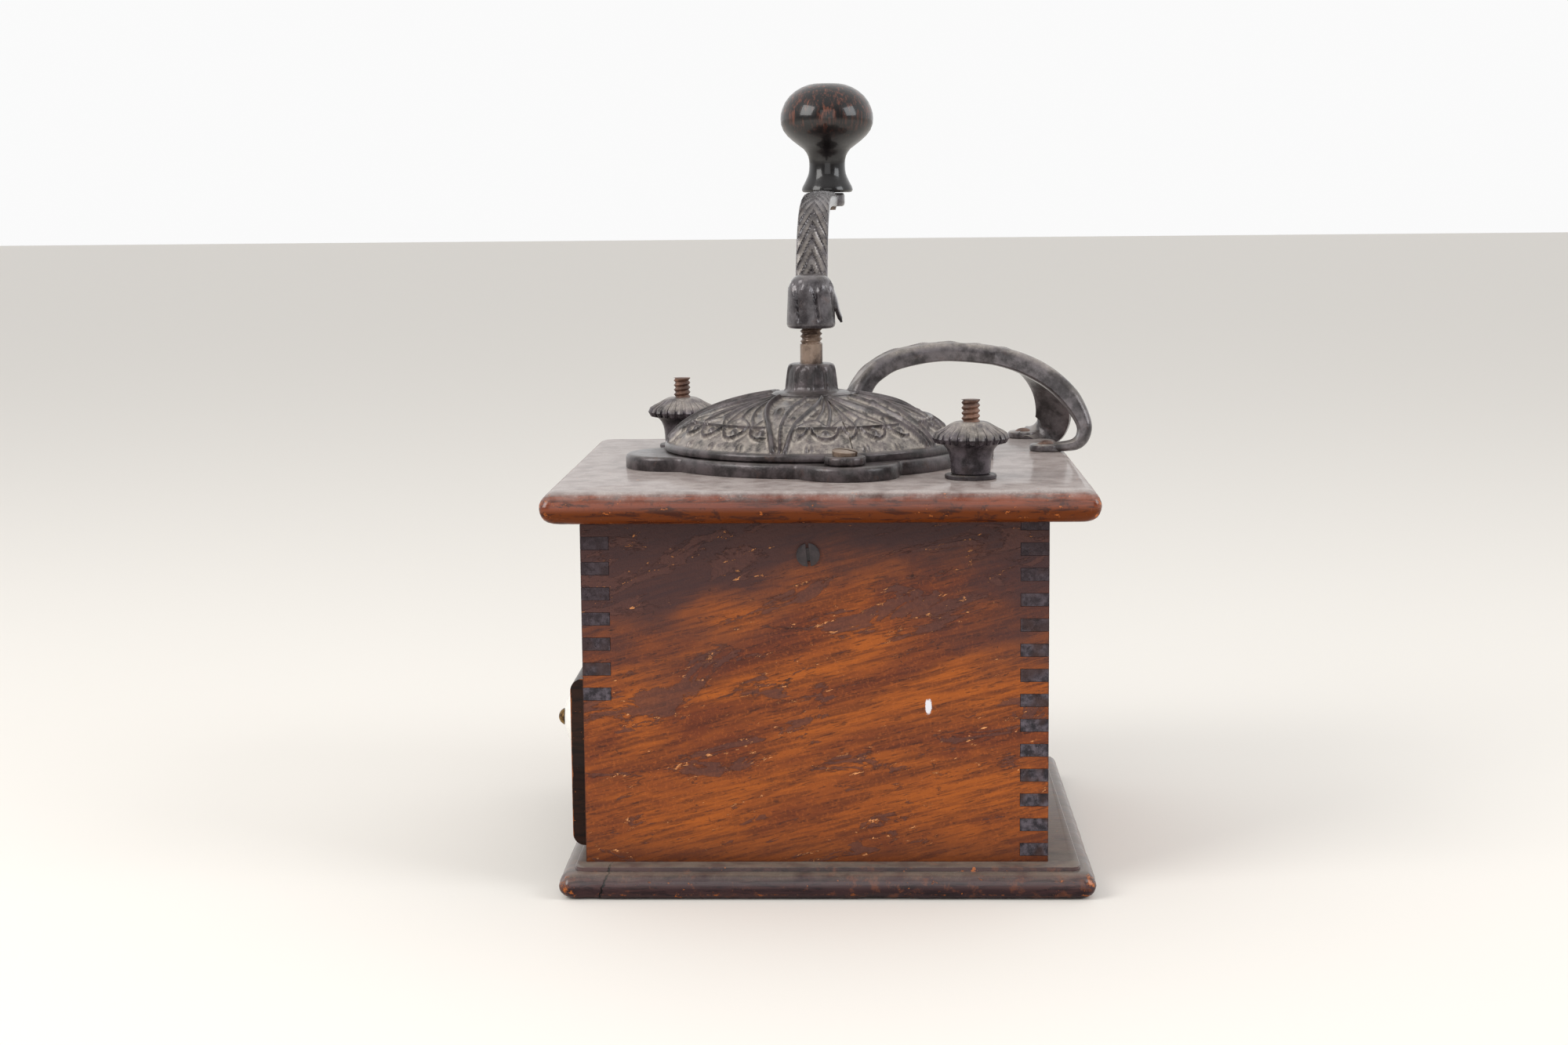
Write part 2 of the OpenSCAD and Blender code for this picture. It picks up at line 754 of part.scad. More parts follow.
// Waisted nut with a wide rim and a coned top
module finial_nut(b) {
    rim_r = nut_rim_d / 2;
    rim_z = nut_h * 0.69;
    color("#2c2725") translate([b[0], b[1], z_top + washer_t]) difference() {
        rotate_extrude() polygon(concat(
            [[0, 0], [6.2, 0], [6.6, 0.5]],
            arc(rim_r + 0.2, 3, rim_r - 6.4, rim_z - 5, 178, 110, 8),
            arc(rim_r - 1.8, rim_z, 1.8, 2, -60, 60, 6),
            arc(5, nut_h + 0.6, rim_r - 5.5, nut_h - rim_z - 1, 300, 275, 3),
            [[5, nut_h], [0, nut_h]]));
        translate([0, 0, -1]) cylinder(r = bolt_r + 0.05, h = nut_h + 2);
    }
}

module finial_nut_front() { finial_nut(bolts[1]); }
module finial_nut_back() { finial_nut(bolts[0]); }

// ---------------------------------------------------------------------- crank

// Middle of the arm at a distance from the spindle: a steep neck that levels out
function arm_point(x) = [x, 0, hub_top - 3 + (arm_rise + 3 - arm_t / 2) * (1 - exp(-(x - 5) / 9))];

// Slope of the arm there, and its side outline, above or below the middle line
function arm_slope(x) = atan((arm_rise + 3 - arm_t / 2) / 9 * exp(-(x - 5) / 9));
function arm_edge(x, side) = [x - side * arm_t / 2 * sin(arm_slope(x)),
                              arm_point(x)[2] + side * arm_t / 2 * cos(arm_slope(x))];

// Gooseneck arm: its side outline, narrowed towards the knob
module arm_bar() {
    stations = [5, 7, 9.5, 12.5, 16, 21, 28, 38, 55, crank_l];
    last = len(stations) - 1;
    intersection() {
        rotate([90, 0, 0]) linear_extrude(arm_w_hub, center = true) polygon(concat(
            [for (i = [0 : last]) arm_edge(stations[i], 1)],
            [for (i = [last : -1 : 0]) arm_edge(stations[i], -1)]));
        translate([0, 0, hub_z]) linear_extrude(2 * hub_h + arm_rise) polygon([
            [0, -arm_w_hub / 2], [0, arm_w_hub / 2],
            [crank_l, arm_w_knob / 2], [crank_l, -arm_w_knob / 2]]);
    }
}

module crank_arm() {
    color("#332e2b") rotate([0, 0, crank_angle]) difference() {
        union() {
            translate([0, 0, hub_z]) cylinder(r = hub_d / 2, h = hub_h - 4);
            translate([0, 0, hub_top - 4]) cylinder(r1 = hub_d / 2, r2 = hub_d / 2 - 2.5, h = 4);
            arm_bar();
            translate([crank_l, 0, knob_seat - eye_t]) cylinder(r = eye_r, h = eye_t);
        }
        translate([0, 0, hub_z - 1]) cylinder(r = spindle_r + 0.05, h = spindle_top - hub_z + 1.1);
        translate([crank_l, 0, knob_seat - eye_t - 1]) cylinder(r = knob_pin_r + 0.02, h = eye_t + 2);
    }
}

module at_knob() {
    rotate([0, 0, crank_angle]) translate([crank_l, 0, 0]) children();
}

// Turned knob: flared foot, waist and a flattened ball
module crank_knob() {
    r = knob_d / 2;
    ball_z = knob_h * 0.67;
    color("#1d1512") at_knob() translate([0, 0, knob_foot]) difference() {
        rotate_extrude() polygon(concat(
            [[0, 0], [9.4, 0], [10, 1]],
            arc(r + 1, 10.5, r - 6, 9.5, 240, 180, 6),
            arc(0, ball_z, r, ball_z - 12, -66, 0, 8),
            arc(0, ball_z, r, knob_h - ball_z, 8, 82, 9),
            [[0, knob_h]]));
        translate([0, 0, -1]) cylinder(r = knob_bore_r, h = knob_h + 2);
        translate([0, 0, knob_h - 1.2]) cylinder(r = 4.3, h = 2);
    }
}

// Pin riveted in the eye of the arm, with a flat head in the top of the knob
module knob_pin() {
    color("#4d463f") at_knob() {
        translate([0, 0, knob_seat - eye_t - 0.8]) cylinder(r = knob_pin_r, h = eye_t + knob_h + 0.6);
        translate([0, 0, knob_seat - eye_t - 1.4]) cylinder(r1 = 3.2, r2 = 3.6, h = 1.35);
        translate([0, 0, knob_foot + knob_h - 0.9]) cylinder(r = 3.9, h = 0.8);
    }
}

// --------------------------------------------------------------- carry handle

module handle_joint(p, w, t) {
    translate([p[0], p[1], z_top + p[2]]) rotate([90, 0, 90 + handle_lean])
        cylinder(d = t, h = w, center = true, $fn = 16);
}

module handle_run(path, w, t) {
    for (i = [0 : len(path) - 2]) hull() {
        handle_joint(path[i], w, t);
        handle_joint(path[i + 1], w, t);
    }
}

module carry_handle() {
    color("#332e2b") difference() {
        union() {
            handle_run(bar_path, handle_w, handle_t);
            for (path = leg_paths) handle_run([for (i = [0 : 3]) path[i]], handle_w - 1.5, handle_t - 1);
            for (path = leg_paths) hull() {
                handle_joint(path[3], handle_w, handle_t - 1);
                translate([path[4][0], path[4][1], z_top]) cylinder(r = 6, h = foot_t, $fn = 32);
            }
            for (path = leg_paths) hull() for (i = [4, 5])
                translate([path[i][0], path[i][1], z_top]) cylinder(r = 6, h = foot_t, $fn = 32);
        }
        for (s = handle_feet) translate([s[0], s[1], z_top - 1])
            cylinder(r = foot_screw_r + 0.1, h = 8, $fn = 24);
        translate([0, 0, z_top]) root_seat();
        root_screw_place(-20) cylinder(r = foot_screw_r + 0.05, h = 24, $fn = 24);
    }
}

// The dome itself, taken out of the handle's root so that the root sits on it
module root_seat() {
    rotate_extrude() polygon(concat([[0, 0], [dome_r, 0]],
        arc(0, dome_foot, dome_r + 0.85, dome_h - dome_foot + 0.05, dome_from, 90, 12)));
}

module root_screw_place(z) {
    translate([handle_root[0], handle_root[1], z_top + root_z + z]) children();
}

module handle_screws() {
    color("#4a443e") {
        for (s = handle_feet) translate([s[0], s[1], z_top + foot_t])
            slotted_screw(3.2, 1.2, foot_screw_r, foot_t + foot_screw_l - 2.6, 0.8);
        root_screw_place(-dome_t - 3.2) mirror([0, 0, 1])
            slotted_screw(3.2, 1.6, foot_screw_r - 0.05, dome_t + 6, 0.8);
    }
}

base_board();
side_panel_right();
side_panel_left();
back_panel();
front_rail();
top_board();
cleat_right();
cleat_left();
side_screws();
drawer_front();
drawer_side_right();
drawer_side_left();
drawer_back();
drawer_bottom();
drawer_pull();
pull_screw();
hopper_crown();
crown_screws();
hopper_lid();
lid_button();
lid_pivot_screw();
mill_frame();
frame_bolt_front();
frame_bolt_back();
bolt_washer_front();
bolt_washer_back();
finial_nut_front();
finial_nut_back();
outer_burr();
inner_burr();
spindle();
bridge();
bridge_screws();
lock_nut();
adjusting_screw();
thrust_pad();
crank_arm();
crank_knob();
knob_pin();
carry_handle();
handle_screws();
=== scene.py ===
# Box coffee mill: finger-jointed wooden case with a drawer, a domed cast-iron hopper
# cover that opens by half, a hand crank with a turned knob, and a cast carry handle.
import math
import bmesh
import bpy
import numpy as np
from mathutils import Matrix, Vector
from mathutils import noise as perlin

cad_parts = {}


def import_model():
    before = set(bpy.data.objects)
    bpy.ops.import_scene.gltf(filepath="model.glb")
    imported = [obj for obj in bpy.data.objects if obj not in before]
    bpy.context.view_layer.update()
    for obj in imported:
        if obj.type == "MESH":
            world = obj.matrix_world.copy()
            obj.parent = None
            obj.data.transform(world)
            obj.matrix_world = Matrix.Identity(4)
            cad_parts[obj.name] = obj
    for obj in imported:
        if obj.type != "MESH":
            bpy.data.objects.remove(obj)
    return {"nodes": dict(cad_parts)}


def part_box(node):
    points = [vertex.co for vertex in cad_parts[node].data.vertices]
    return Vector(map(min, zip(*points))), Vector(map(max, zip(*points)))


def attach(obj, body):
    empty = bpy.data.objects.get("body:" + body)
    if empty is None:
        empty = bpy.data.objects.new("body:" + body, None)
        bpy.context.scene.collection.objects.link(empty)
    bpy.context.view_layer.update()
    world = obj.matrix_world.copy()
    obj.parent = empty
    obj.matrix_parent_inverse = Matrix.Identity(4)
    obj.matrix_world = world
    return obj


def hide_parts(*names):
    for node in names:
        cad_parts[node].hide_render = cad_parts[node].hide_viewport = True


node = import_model()["nodes"]
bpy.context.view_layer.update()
MM = 0.001


# ---- View -------------------------------------------------------------------------
# A long lens looks at the side of the case from a little above the top board, turned
# slightly towards the drawer and leaning by half a degree.
eye = Vector((858.6, 17.7, 228.2)) * MM
yaw, pitch, roll = math.radians(1.86), math.radians(-7.65), math.radians(-0.53)
ahead = Vector((-math.cos(pitch) * math.cos(yaw), -math.cos(pitch) * math.sin(yaw),
                math.sin(pitch)))
level_right = ahead.cross(Vector((0, 0, 1))).normalized()
level_up = level_right.cross(ahead)
right = level_right * math.cos(roll) + level_up * math.sin(roll)
up = right.cross(ahead)
lens = bpy.data.cameras.new("camera")
lens.lens, lens.sensor_width = 55.95, 36
lens.clip_start, lens.clip_end = 0.01, 50
camera = bpy.data.objects.new("camera", lens)
camera.matrix_world = Matrix((
    (right.x, up.x, -ahead.x, eye.x), (right.y, up.y, -ahead.y, eye.y),
    (right.z, up.z, -ahead.z, eye.z), (0, 0, 0, 1)))
bpy.context.collection.objects.link(camera)
bpy.context.scene.camera = camera
bpy.context.scene.view_settings.view_transform = "Standard"


# ---- Floor and light --------------------------------------------------------------
# A plain pale floor and soft light: a white room, one broad light over the drawer
# side, one over the back, and a low one from where the camera stands.
def fill(tree, socket, value):
    """Joins an output to a socket, or sets a plain value on it."""
    if isinstance(value, bpy.types.NodeSocket):
        tree.links.new(value, socket)
    else:
        socket.default_value = value


def add(tree, kind, settings=None, **values):
    """Adds a node; each named input is joined to the socket or set to the value given."""
    made = tree.nodes.new(kind)
    for key, setting in (settings or {}).items():
        setattr(made, key, setting)
    for key, value in values.items():
        wanted = key.replace("_", " ")
        fill(tree, next(s for s in made.inputs if s.name == wanted and s.enabled), value)
    return made


def finish_of(name, **values):
    """A material with one Principled BSDF; the plain values are set on its own sockets."""
    finish = bpy.data.materials.new(name)
    finish.use_nodes = True
    tree = finish.node_tree
    tree.nodes.clear()
    shader = add(tree, "ShaderNodeBsdfPrincipled", **values)
    output = add(tree, "ShaderNodeOutputMaterial")
    tree.links.new(shader.outputs["BSDF"], output.inputs["Surface"])
    return finish, tree, shader


floor_size = 12
floor_mesh = bpy.data.meshes.new("floor")
floor_mesh.from_pydata([(-floor_size, -floor_size, 0), (floor_size, -floor_size, 0),
                        (floor_size, floor_size, 0), (-floor_size, floor_size, 0)], [],
                        [(0, 1, 2, 3)])
floor = bpy.data.objects.new("floor", floor_mesh)
bpy.context.collection.objects.link(floor)
floor_finish, _, _ = finish_of("pale_floor", Base_Color=(0.8, 0.765, 0.715, 1), Roughness=0.75)
floor_mesh.materials.append(floor_finish)

room = bpy.data.worlds.new("room")
room.use_nodes = True
sky = room.node_tree
direction = add(sky, "ShaderNodeTexCoord").outputs["Generated"]
heading = add(sky, "ShaderNodeSeparateXYZ", Vector=direction).outputs
in_front = add(sky, "ShaderNodeMapRange", {"interpolation_type": "SMOOTHSTEP"}, Value=heading[0],
               From_Min=-0.25, From_Max=0.45, To_Min=0.0, To_Max=0.8).outputs[0]
below_ceiling = add(sky, "ShaderNodeMapRange", {"interpolation_type": "SMOOTHSTEP"},
                    Value=heading[2],
                    From_Min=0.9, From_Max=0.4).outputs[0]
shade = add(sky, "ShaderNodeMath", {"operation": "MULTIPLY"})
sky.links.new(in_front, shade.inputs[0])
sky.links.new(below_ceiling, shade.inputs[1])
bright = add(sky, "ShaderNodeMath", {"operation": "SUBTRACT"})
bright.inputs[0].default_value = 0.96
sky.links.new(shade.outputs[0], bright.inputs[1])
sky.links.new(bright.outputs[0], sky.nodes["Background"].inputs["Strength"])
sky.nodes["Background"].inputs["Color"].default_value = (1, 1, 1, 1)
bpy.context.scene.world = room


def soft_light(name, place, aim, size, power, tint):
    lamp = bpy.data.lights.new(name, "AREA")
    lamp.shape, lamp.size, lamp.energy, lamp.color = "SQUARE", size, power, tint
    made = bpy.data.objects.new(name, lamp)
    made.location = place
    made.rotation_euler = (Vector(aim) - Vector(place)).to_track_quat("-Z", "Y").to_euler()
    bpy.context.collection.objects.link(made)


soft_light("window_left", (0.75, -1.15, 0.95), (0, 0, 0.12), 0.9, 15, (1, 0.99, 0.97))
soft_light("window_right", (0.55, 1.35, 0.85), (0, 0, 0.12), 0.8, 10, (0.96, 0.98, 1))
soft_light("front_fill", (1.9, 0.1, 0.75), (0, 0, 0.1), 1.3, 7, (1, 1, 1))


# ---- Base board -------------------------------------------------------------------
# One thick board, stained almost black, with a half-round edge under a small step. The
# corners are rubbed down to orange wood and the long side has a drying crack.
def math_node(tree, operation, a, b=0.0, c=0.0, clamp=False):
    made = tree.nodes.new("ShaderNodeMath")
    made.operation, made.use_clamp = operation, clamp
    for socket, value in zip(made.inputs, (a, b, c)):
        fill(tree, socket, value)
    return made.outputs[0]


def times(tree, a, b, clamp=False):
    return math_node(tree, "MULTIPLY", a, b, clamp=clamp)


def times_plus(tree, value, gain, offset):
    """value * gain + offset"""
    return math_node(tree, "MULTIPLY_ADD", value, gain, offset)


def axes(tree, vector):
    """The X, Y and Z outputs of a vector."""
    return add(tree, "ShaderNodeSeparateXYZ", Vector=vector).outputs


def facing(tree):
    """The X, Y and Z outputs of the surface normal."""
    return axes(tree, add(tree, "ShaderNodeNewGeometry").outputs["Normal"])


def feed(tree, shader, **sockets):
    """Joins each output to the shader's input of that name."""
    for label, value in sockets.items():
        tree.links.new(value, shader.inputs[label.replace("_", " ")])


def rise(tree, value, low, high, top=1.0):
    """Smooth step from 0 at low to top at high."""
    return add(tree, "ShaderNodeMapRange", {"interpolation_type": "SMOOTHSTEP"}, Value=value,
               From_Min=low, From_Max=high, To_Min=0.0, To_Max=top).outputs[0]


def mix(tree, share, a, b):
    """Colour a, turning into colour b as share goes from 0 to 1."""
    made = tree.nodes.new("ShaderNodeMix")
    made.data_type, made.blend_type, made.clamp_factor = "RGBA", "MIX", True
    for socket, value in ((0, share), (6, a), (7, b)):
        fill(tree, made.inputs[socket], value)
    return made.outputs[2]


def colour(red, green, blue):
    """Linear colour from the 0 to 255 values of a colour card."""
    return tuple(((c / 255 + 0.055) / 1.055) ** 2.4 if c > 10 else c / 255 / 12.92
                 for c in (red, green, blue)) + (1.0,)


def place_mm(tree, turn=(0, 0, 0)):
    """Object coordinates in millimetres, turned about the origin."""
    where = add(tree, "ShaderNodeTexCoord").outputs["Object"]
    return add(tree, "ShaderNodeMapping", Vector=where, Rotation=turn,
               Scale=(1000, 1000, 1000)).outputs[0]


def vector_math(tree, operation, a, b=None):
    made = tree.nodes.new("ShaderNodeVectorMath")
    made.operation = operation
    fill(tree, made.inputs[0], a)
    if b is not None:
        fill(tree, made.inputs[1], b)
    return made.outputs[0]


def scaled(tree, vector, stretch):
    return vector_math(tree, "MULTIPLY", vector, stretch)


def cloud(tree, vector, size, detail=4.0, rough=0.55, warp=0.0):
    """Noise with features about size millimetres across."""
    return add(tree, "ShaderNodeTexNoise", Vector=vector, Scale=1 / size, Detail=detail,
               Roughness=rough, Distortion=warp).outputs[0]


def start_group(name, inputs, outputs):
    group = bpy.data.node_groups.new(name, "ShaderNodeTree")
    for label, kind, value in inputs:
        socket = group.interface.new_socket(label, in_out="INPUT", socket_type=kind)
        if value is not None:
            socket.default_value = value
    for label, kind in outputs:
        group.interface.new_socket(label, in_out="OUTPUT", socket_type=kind)
    return (group, group.nodes.new("NodeGroupInput").outputs,
            group.nodes.new("NodeGroupOutput").inputs)


def use_group(tree, group, **values):
    made = tree.nodes.new("ShaderNodeGroup")
    made.node_tree = group
    for key, value in values.items():
        fill(tree, made.inputs[key.replace("_", " ")], value)
    return made.outputs


# Wood figure: broad bands, fine streaks and open pores, with the grain along X
wood_figure, given, put = start_group(
    "wood_figure", [("Vector", "NodeSocketVector", None)],
    [("Broad", "NodeSocketFloat"), ("Streak", "NodeSocketFloat"), ("Pore", "NodeSocketFloat")])
g = wood_figure
g.links.new(cloud(g, scaled(g, given["Vector"], (0.16, 1, 1)), 16, 3, 0.5, 0.6), put["Broad"])
g.links.new(cloud(g, scaled(g, given["Vector"], (0.07, 1, 1)), 1.6, 4, 0.65, 0.3), put["Streak"])
pores = cloud(g, scaled(g, given["Vector"], (0.12, 1, 1)), 0.55, 2, 0.6)
g.links.new(rise(g, pores, 0.56, 0.68), put["Pore"])

# Edge wear of a box: 1 on the edges of the box, falling to 0 a width away, broken up
edge_wear, given, put = start_group(
    "edge_wear", [("Vector", "NodeSocketVector", None), ("Centre", "NodeSocketVector", (0, 0, 0)),
                  ("Half Size", "NodeSocketVector", (50, 50, 50)),
                  ("Width", "NodeSocketFloat", 2.0)],
    [("Mask", "NodeSocketFloat")])
g = edge_wear
inside = vector_math(g, "ABSOLUTE", vector_math(g, "SUBTRACT", given["Vector"], given["Centre"]))
inside = vector_math(g, "SUBTRACT", given["Half Size"], inside)
split = axes(g, inside)
low = math_node(g, "MINIMUM", split[0], split[1])
high = math_node(g, "MAXIMUM", split[0], split[1])
second = math_node(g, "MAXIMUM", low, math_node(g, "MINIMUM", high, split[2]))
ragged = cloud(g, given["Vector"], 5, 5, 0.7)
reach = times(g, given["Width"], times_plus(g, ragged, 3.4, -1.1))
away = math_node(g, "DIVIDE", second, reach, clamp=True)
g.links.new(math_node(g, "SUBTRACT", 1.0, away, clamp=True), put["Mask"])

# Dust: settles on faces that look up, in soft clumps
dust_film, given, put = start_group(
    "dust_film", [("Vector", "NodeSocketVector", None), ("Amount", "NodeSocketFloat", 0.5)],
    [("Mask", "NodeSocketFloat")])
g = dust_film
clumps = cloud(g, given["Vector"], 9, 6, 0.65)
settled = times(g, rise(g, facing(g)[2], 0.25, 0.95), rise(g, clumps, 0.3, 0.62))
speck = rise(g, cloud(g, given["Vector"], 0.7, 2, 0.6), 0.5, 0.7)
settled = times(g, settled, times_plus(g, speck, 0.45, 0.7))
g.links.new(times(g, settled, given["Amount"], clamp=True), put["Mask"])


def bumped(tree, height, depth):
    """Normal of a surface whose height of 0 to 1 stands depth millimetres."""
    return add(tree, "ShaderNodeBump", Height=height, Distance=depth * MM, Strength=1.0).outputs[0]


def piece_from(name, verts, faces, finish, smooth_angle=0.7):
    """A mesh piece from points in millimetres, faces turned outwards."""
    mesh = bpy.data.meshes.new(name)
    mesh.from_pydata((np.asarray(verts, float) * MM).tolist(), [], faces)
    work = bmesh.new()
    work.from_mesh(mesh)
    bmesh.ops.recalc_face_normals(work, faces=work.faces)
    work.to_mesh(mesh)
    work.free()
    mesh.shade_smooth()
    mesh.set_sharp_from_angle(angle=smooth_angle)
    mesh.materials.append(finish)
    made = bpy.data.objects.new(name, mesh)
    bpy.context.collection.objects.link(made)
    return made


def grid_faces(rows, columns, wrap_rows=False, wrap_columns=True):
    """Quads between the rows of a grid of points, which may close on itself either way."""
    faces = []
    for i in range(rows if wrap_rows else rows - 1):
        for j in range(columns if wrap_columns else columns - 1):
            a, b = i * columns, (i + 1) % rows * columns
            k = (j + 1) % columns
            faces.append((a + j, a + k, b + k, b + j))
    return faces


def board_outline(width, depth, corner, step):
    """Points round a rounded rectangle about the origin."""
    points = []
    arcs = [(1, 1, 0), (-1, 1, 90), (-1, -1, 180), (1, -1, 270)]
    for n, (sx, sy, start) in enumerate(arcs):
        cx, cy = sx * (width / 2 - corner), sy * (depth / 2 - corner)
        for a in range(start, start + 91, 15):
            points.append((cx + corner * math.cos(math.radians(a)),
                           cy + corner * math.sin(math.radians(a))))
        nx, ny, nstart = arcs[(n + 1) % 4]
        tx = nx * (width / 2 - corner) + corner * math.cos(math.radians(nstart))
        ty = ny * (depth / 2 - corner) + corner * math.sin(math.radians(nstart))
        span = math.dist(points[-1], (tx, ty))
        for i in range(1, int(span / step)):
            share = i / int(span / step)
            points.append((points[-1 - (i - 1)][0] * (1 - share) + tx * share,
                           points[-1 - (i - 1)][1] * (1 - share) + ty * share))
    return np.array(points)


def worn_board(name, box, corner, finish, wear, hole=(), seed=0, fillet=0.0):
    """A board with half-round edges, knocked down a little at its edges and corners.

    hole lists (radius, z) of a round hole from the top down; fillet is the height of a
    small step above the rounding."""
    lo, hi = np.array(box[0]) / MM, np.array(box[1]) / MM
    centre, size = (lo + hi) / 2, hi - lo
    outline = board_outline(size[0], size[1], corner, 1.6)
    half = (size[2] - fillet) / 2
    steps = [(-90 + 15 * i) for i in range(13)]
    reach, drop = half * 0.92, fillet / 2
    levels = [(reach * (1 - math.cos(math.radians(a))), half * math.sin(math.radians(a)) - drop)
              for a in steps]
    if fillet:
        levels += [(reach + 1.0, half - drop), (reach + 1.1, half + drop - 0.2),
                   (reach + 1.3, half + drop)]
    rings = []
    for inset, level in levels:
        scale = np.array([1 - 2 * inset / size[0], 1 - 2 * inset / size[1]])
        rings.append(np.column_stack([outline * scale, np.full(len(outline), level)]) + centre)
    inner = [[(radius * math.cos(t), radius * math.sin(t), z) for t in
              [math.atan2(p[1] + centre[1], p[0] + centre[0]) for p in outline]] for radius,
              z in hole]
    rings += [np.array(r) for r in inner]
    points = np.concatenate(rings)
    count = len(outline)
    for i in range(len(steps) * count):
        p = Vector(points[i])
        slant = abs(steps[i // count])
        edge = math.sin(math.radians(slant)) if slant < 90 else 0.6
        corner_near = max(0, 1 - math.hypot(abs(p.x - centre[0]) - size[0] / 2,
                                            abs(p.y - centre[1]) - size[1] / 2) / 14)
        dent = max(0, perlin.noise(p * 0.11 + Vector((seed, 0, 0)))) ** 1.5 * 1.6
        dent += max(0, perlin.noise(p * 0.35 + Vector((0, seed, 0))) - 0.25) * 1.2
        pull = wear * dent * (0.25 + 0.75 * edge) * (1 + 2.2 * corner_near)
        points[i] += (centre - points[i]) / max(np.linalg.norm(centre - points[i]), 1) * pull
    rows = len(rings)
    faces = grid_faces(rows, count, wrap_rows=bool(hole))
    if not hole:
        faces += [tuple(range(count - 1, -1, -1)), tuple(range((rows - 1) * count, rows * count))]
    return piece_from(name, points, faces, finish)


def board_finish(name, box, body, painted_shade_share, bare, dust, dust_tint, crack_at=None,
                 face_tone=None, corner_wear=0.0, edge_width=1.6, dull_below=0.3):
    """Stained and shellacked board: dusty face, glossy edge, bare wood where it is worn, and
    painted shade on the lower half (body[3] blended in by painted_shade_share).
    """
    lo, hi = np.array(box[0]) / MM, np.array(box[1]) / MM
    finish, tree, shader = finish_of(name, Coat_Roughness=0.12)
    where = place_mm(tree)
    along = place_mm(tree, turn=(0, 0, math.radians(-90)))
    figure = use_group(tree, wood_figure, Vector=along)
    tone = mix(tree, rise(tree, figure["Broad"], 0.35, 0.65), body[0], body[1])
    tone = mix(tree, rise(tree, figure["Streak"], 0.42, 0.68, 0.55), tone, body[2])
    split = axes(tree, where)
    # Painted shade: below the board's middle the stain is blended towards body[3], a darker amber,
    # by painted_shade_share. The same mask also lowers the specular and coat.
    lower = rise(tree, split[2], (lo[2] + hi[2]) / 2 + 0.8, (lo[2] + hi[2]) / 2 - 1.6)
    tone = mix(tree, times(tree, lower, painted_shade_share), tone, body[3])
    run_marks = cloud(tree, scaled(tree, along, (0.16, 1, 1)), 2.6, 6, 0.72, 0.4)
    tone = mix(tree, rise(tree, run_marks, 0.5, 0.6, 0.8), tone, body[2])
    if face_tone is not None:
        level_face = rise(tree, facing(tree)[2], 0.7, 0.95, 0.9)
        tone = mix(tree, level_face, tone, mix(tree, figure["Streak"], face_tone,
                                               colour(58, 42, 38)))
    blotch = rise(tree, cloud(tree, where, 6, 5, 0.7), 0.55, 0.66, 0.7)
    tone = mix(tree, blotch, tone, body[4])
    worn = use_group(tree, edge_wear, Vector=where, Centre=tuple((lo + hi) / 2),
                     Half_Size=tuple((hi - lo) / 2 - np.array([0, 0, 1.2 if corner_wear else 0])),
                     Width=edge_width)["Mask"]
    chips = rise(tree, cloud(tree, scaled(tree, along, (0.5, 1, 1)), 2.6, 6, 0.75), 0.635, 0.665)
    face_up = rise(tree, facing(tree)[2], 0.75, 0.95)
    not_up = math_node(tree, "SUBTRACT", 1.0, face_up)
    chips = times(tree, chips, not_up)
    bare_mask = math_node(tree, "MAXIMUM", rise(tree, worn, 0.35, 0.6), chips)
    at_corner = None
    for axis in (0, 1):
        middle, reach = (lo[axis] + hi[axis]) / 2, (hi[axis] - lo[axis]) / 2
        out = math_node(tree, "ABSOLUTE", math_node(tree, "SUBTRACT", split[axis], middle))
        near = rise(tree, out, reach - 11, reach - 1)
        at_corner = near if at_corner is None else times(tree, at_corner, near)
    rubbed = times_plus(tree, cloud(tree, where, 3.2, 5, 0.7), 1.6, -0.8)
    rubbed = math_node(tree, "ADD", times(tree, at_corner, corner_wear), rubbed)
    bare_mask = math_node(tree, "MAXIMUM", bare_mask, rise(tree, rubbed, 0.42, 0.55))
    bare_tone = mix(tree, figure["Streak"], bare, colour(176, 98, 46))
    tone = mix(tree, bare_mask, tone, bare_tone)
    height = times_plus(tree, figure["Streak"], 0.5,
                       times(tree, bare_mask, -0.8))
    if crack_at is not None:
        wander = times_plus(tree, cloud(tree, where, 4, 3), 5.0, -2.5)
        away = math_node(tree, "ABSOLUTE", math_node(tree, "SUBTRACT", math_node(
            tree, "ADD", split[1], times_plus(tree, split[2], -0.45, wander)), crack_at))
        near_side = rise(tree, split[0], hi[0] - 14, hi[0] - 6)
        crack = times(tree, rise(tree, away, 0.45, 0.15), near_side)
        tone = mix(tree, crack, tone, (0.004, 0.003, 0.003, 1))
        height = times_plus(tree, crack, -2.5, height)
    film = use_group(tree, dust_film, Vector=where, Amount=dust)["Mask"]
    film = times_plus(tree, film, 0.5, times(tree, face_up, 0.3 * dust))
    tone = mix(tree, film, tone, dust_tint)
    rough = times_plus(tree, film, 0.5, times_plus(tree, bare_mask, 0.3, 0.27))
    feed(tree, shader, Base_Color=tone, Roughness=times_plus(tree, face_up, 0.08, rough),
         Normal=bumped(tree, height, 0.25),
         Specular_IOR_Level=times_plus(tree, lower, -dull_below, dull_below + 0.12),
         Coat_Weight=times_plus(tree, lower, -1.2 * dull_below, 1.2 * dull_below))
    return finish


base_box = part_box("base_board")
# body[3] is the darker colour painted on the lower half as painted shade; 0.5 is its
# painted_shade_share.
base_finish = board_finish(
    "base_board_wood", base_box,
    [colour(62, 42, 44), colour(84, 56, 54), colour(38, 27, 31), colour(48, 33, 37),
     colour(104, 62, 46)],
    0.5, colour(172, 96, 48), 0.75, colour(132, 122, 108), crack_at=-70, corner_wear=0.42)
base = worn_board("base_plank", base_box, 4, base_finish, 0.9, seed=3, fillet=1.4)
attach(base, "case")
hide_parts("base_board")


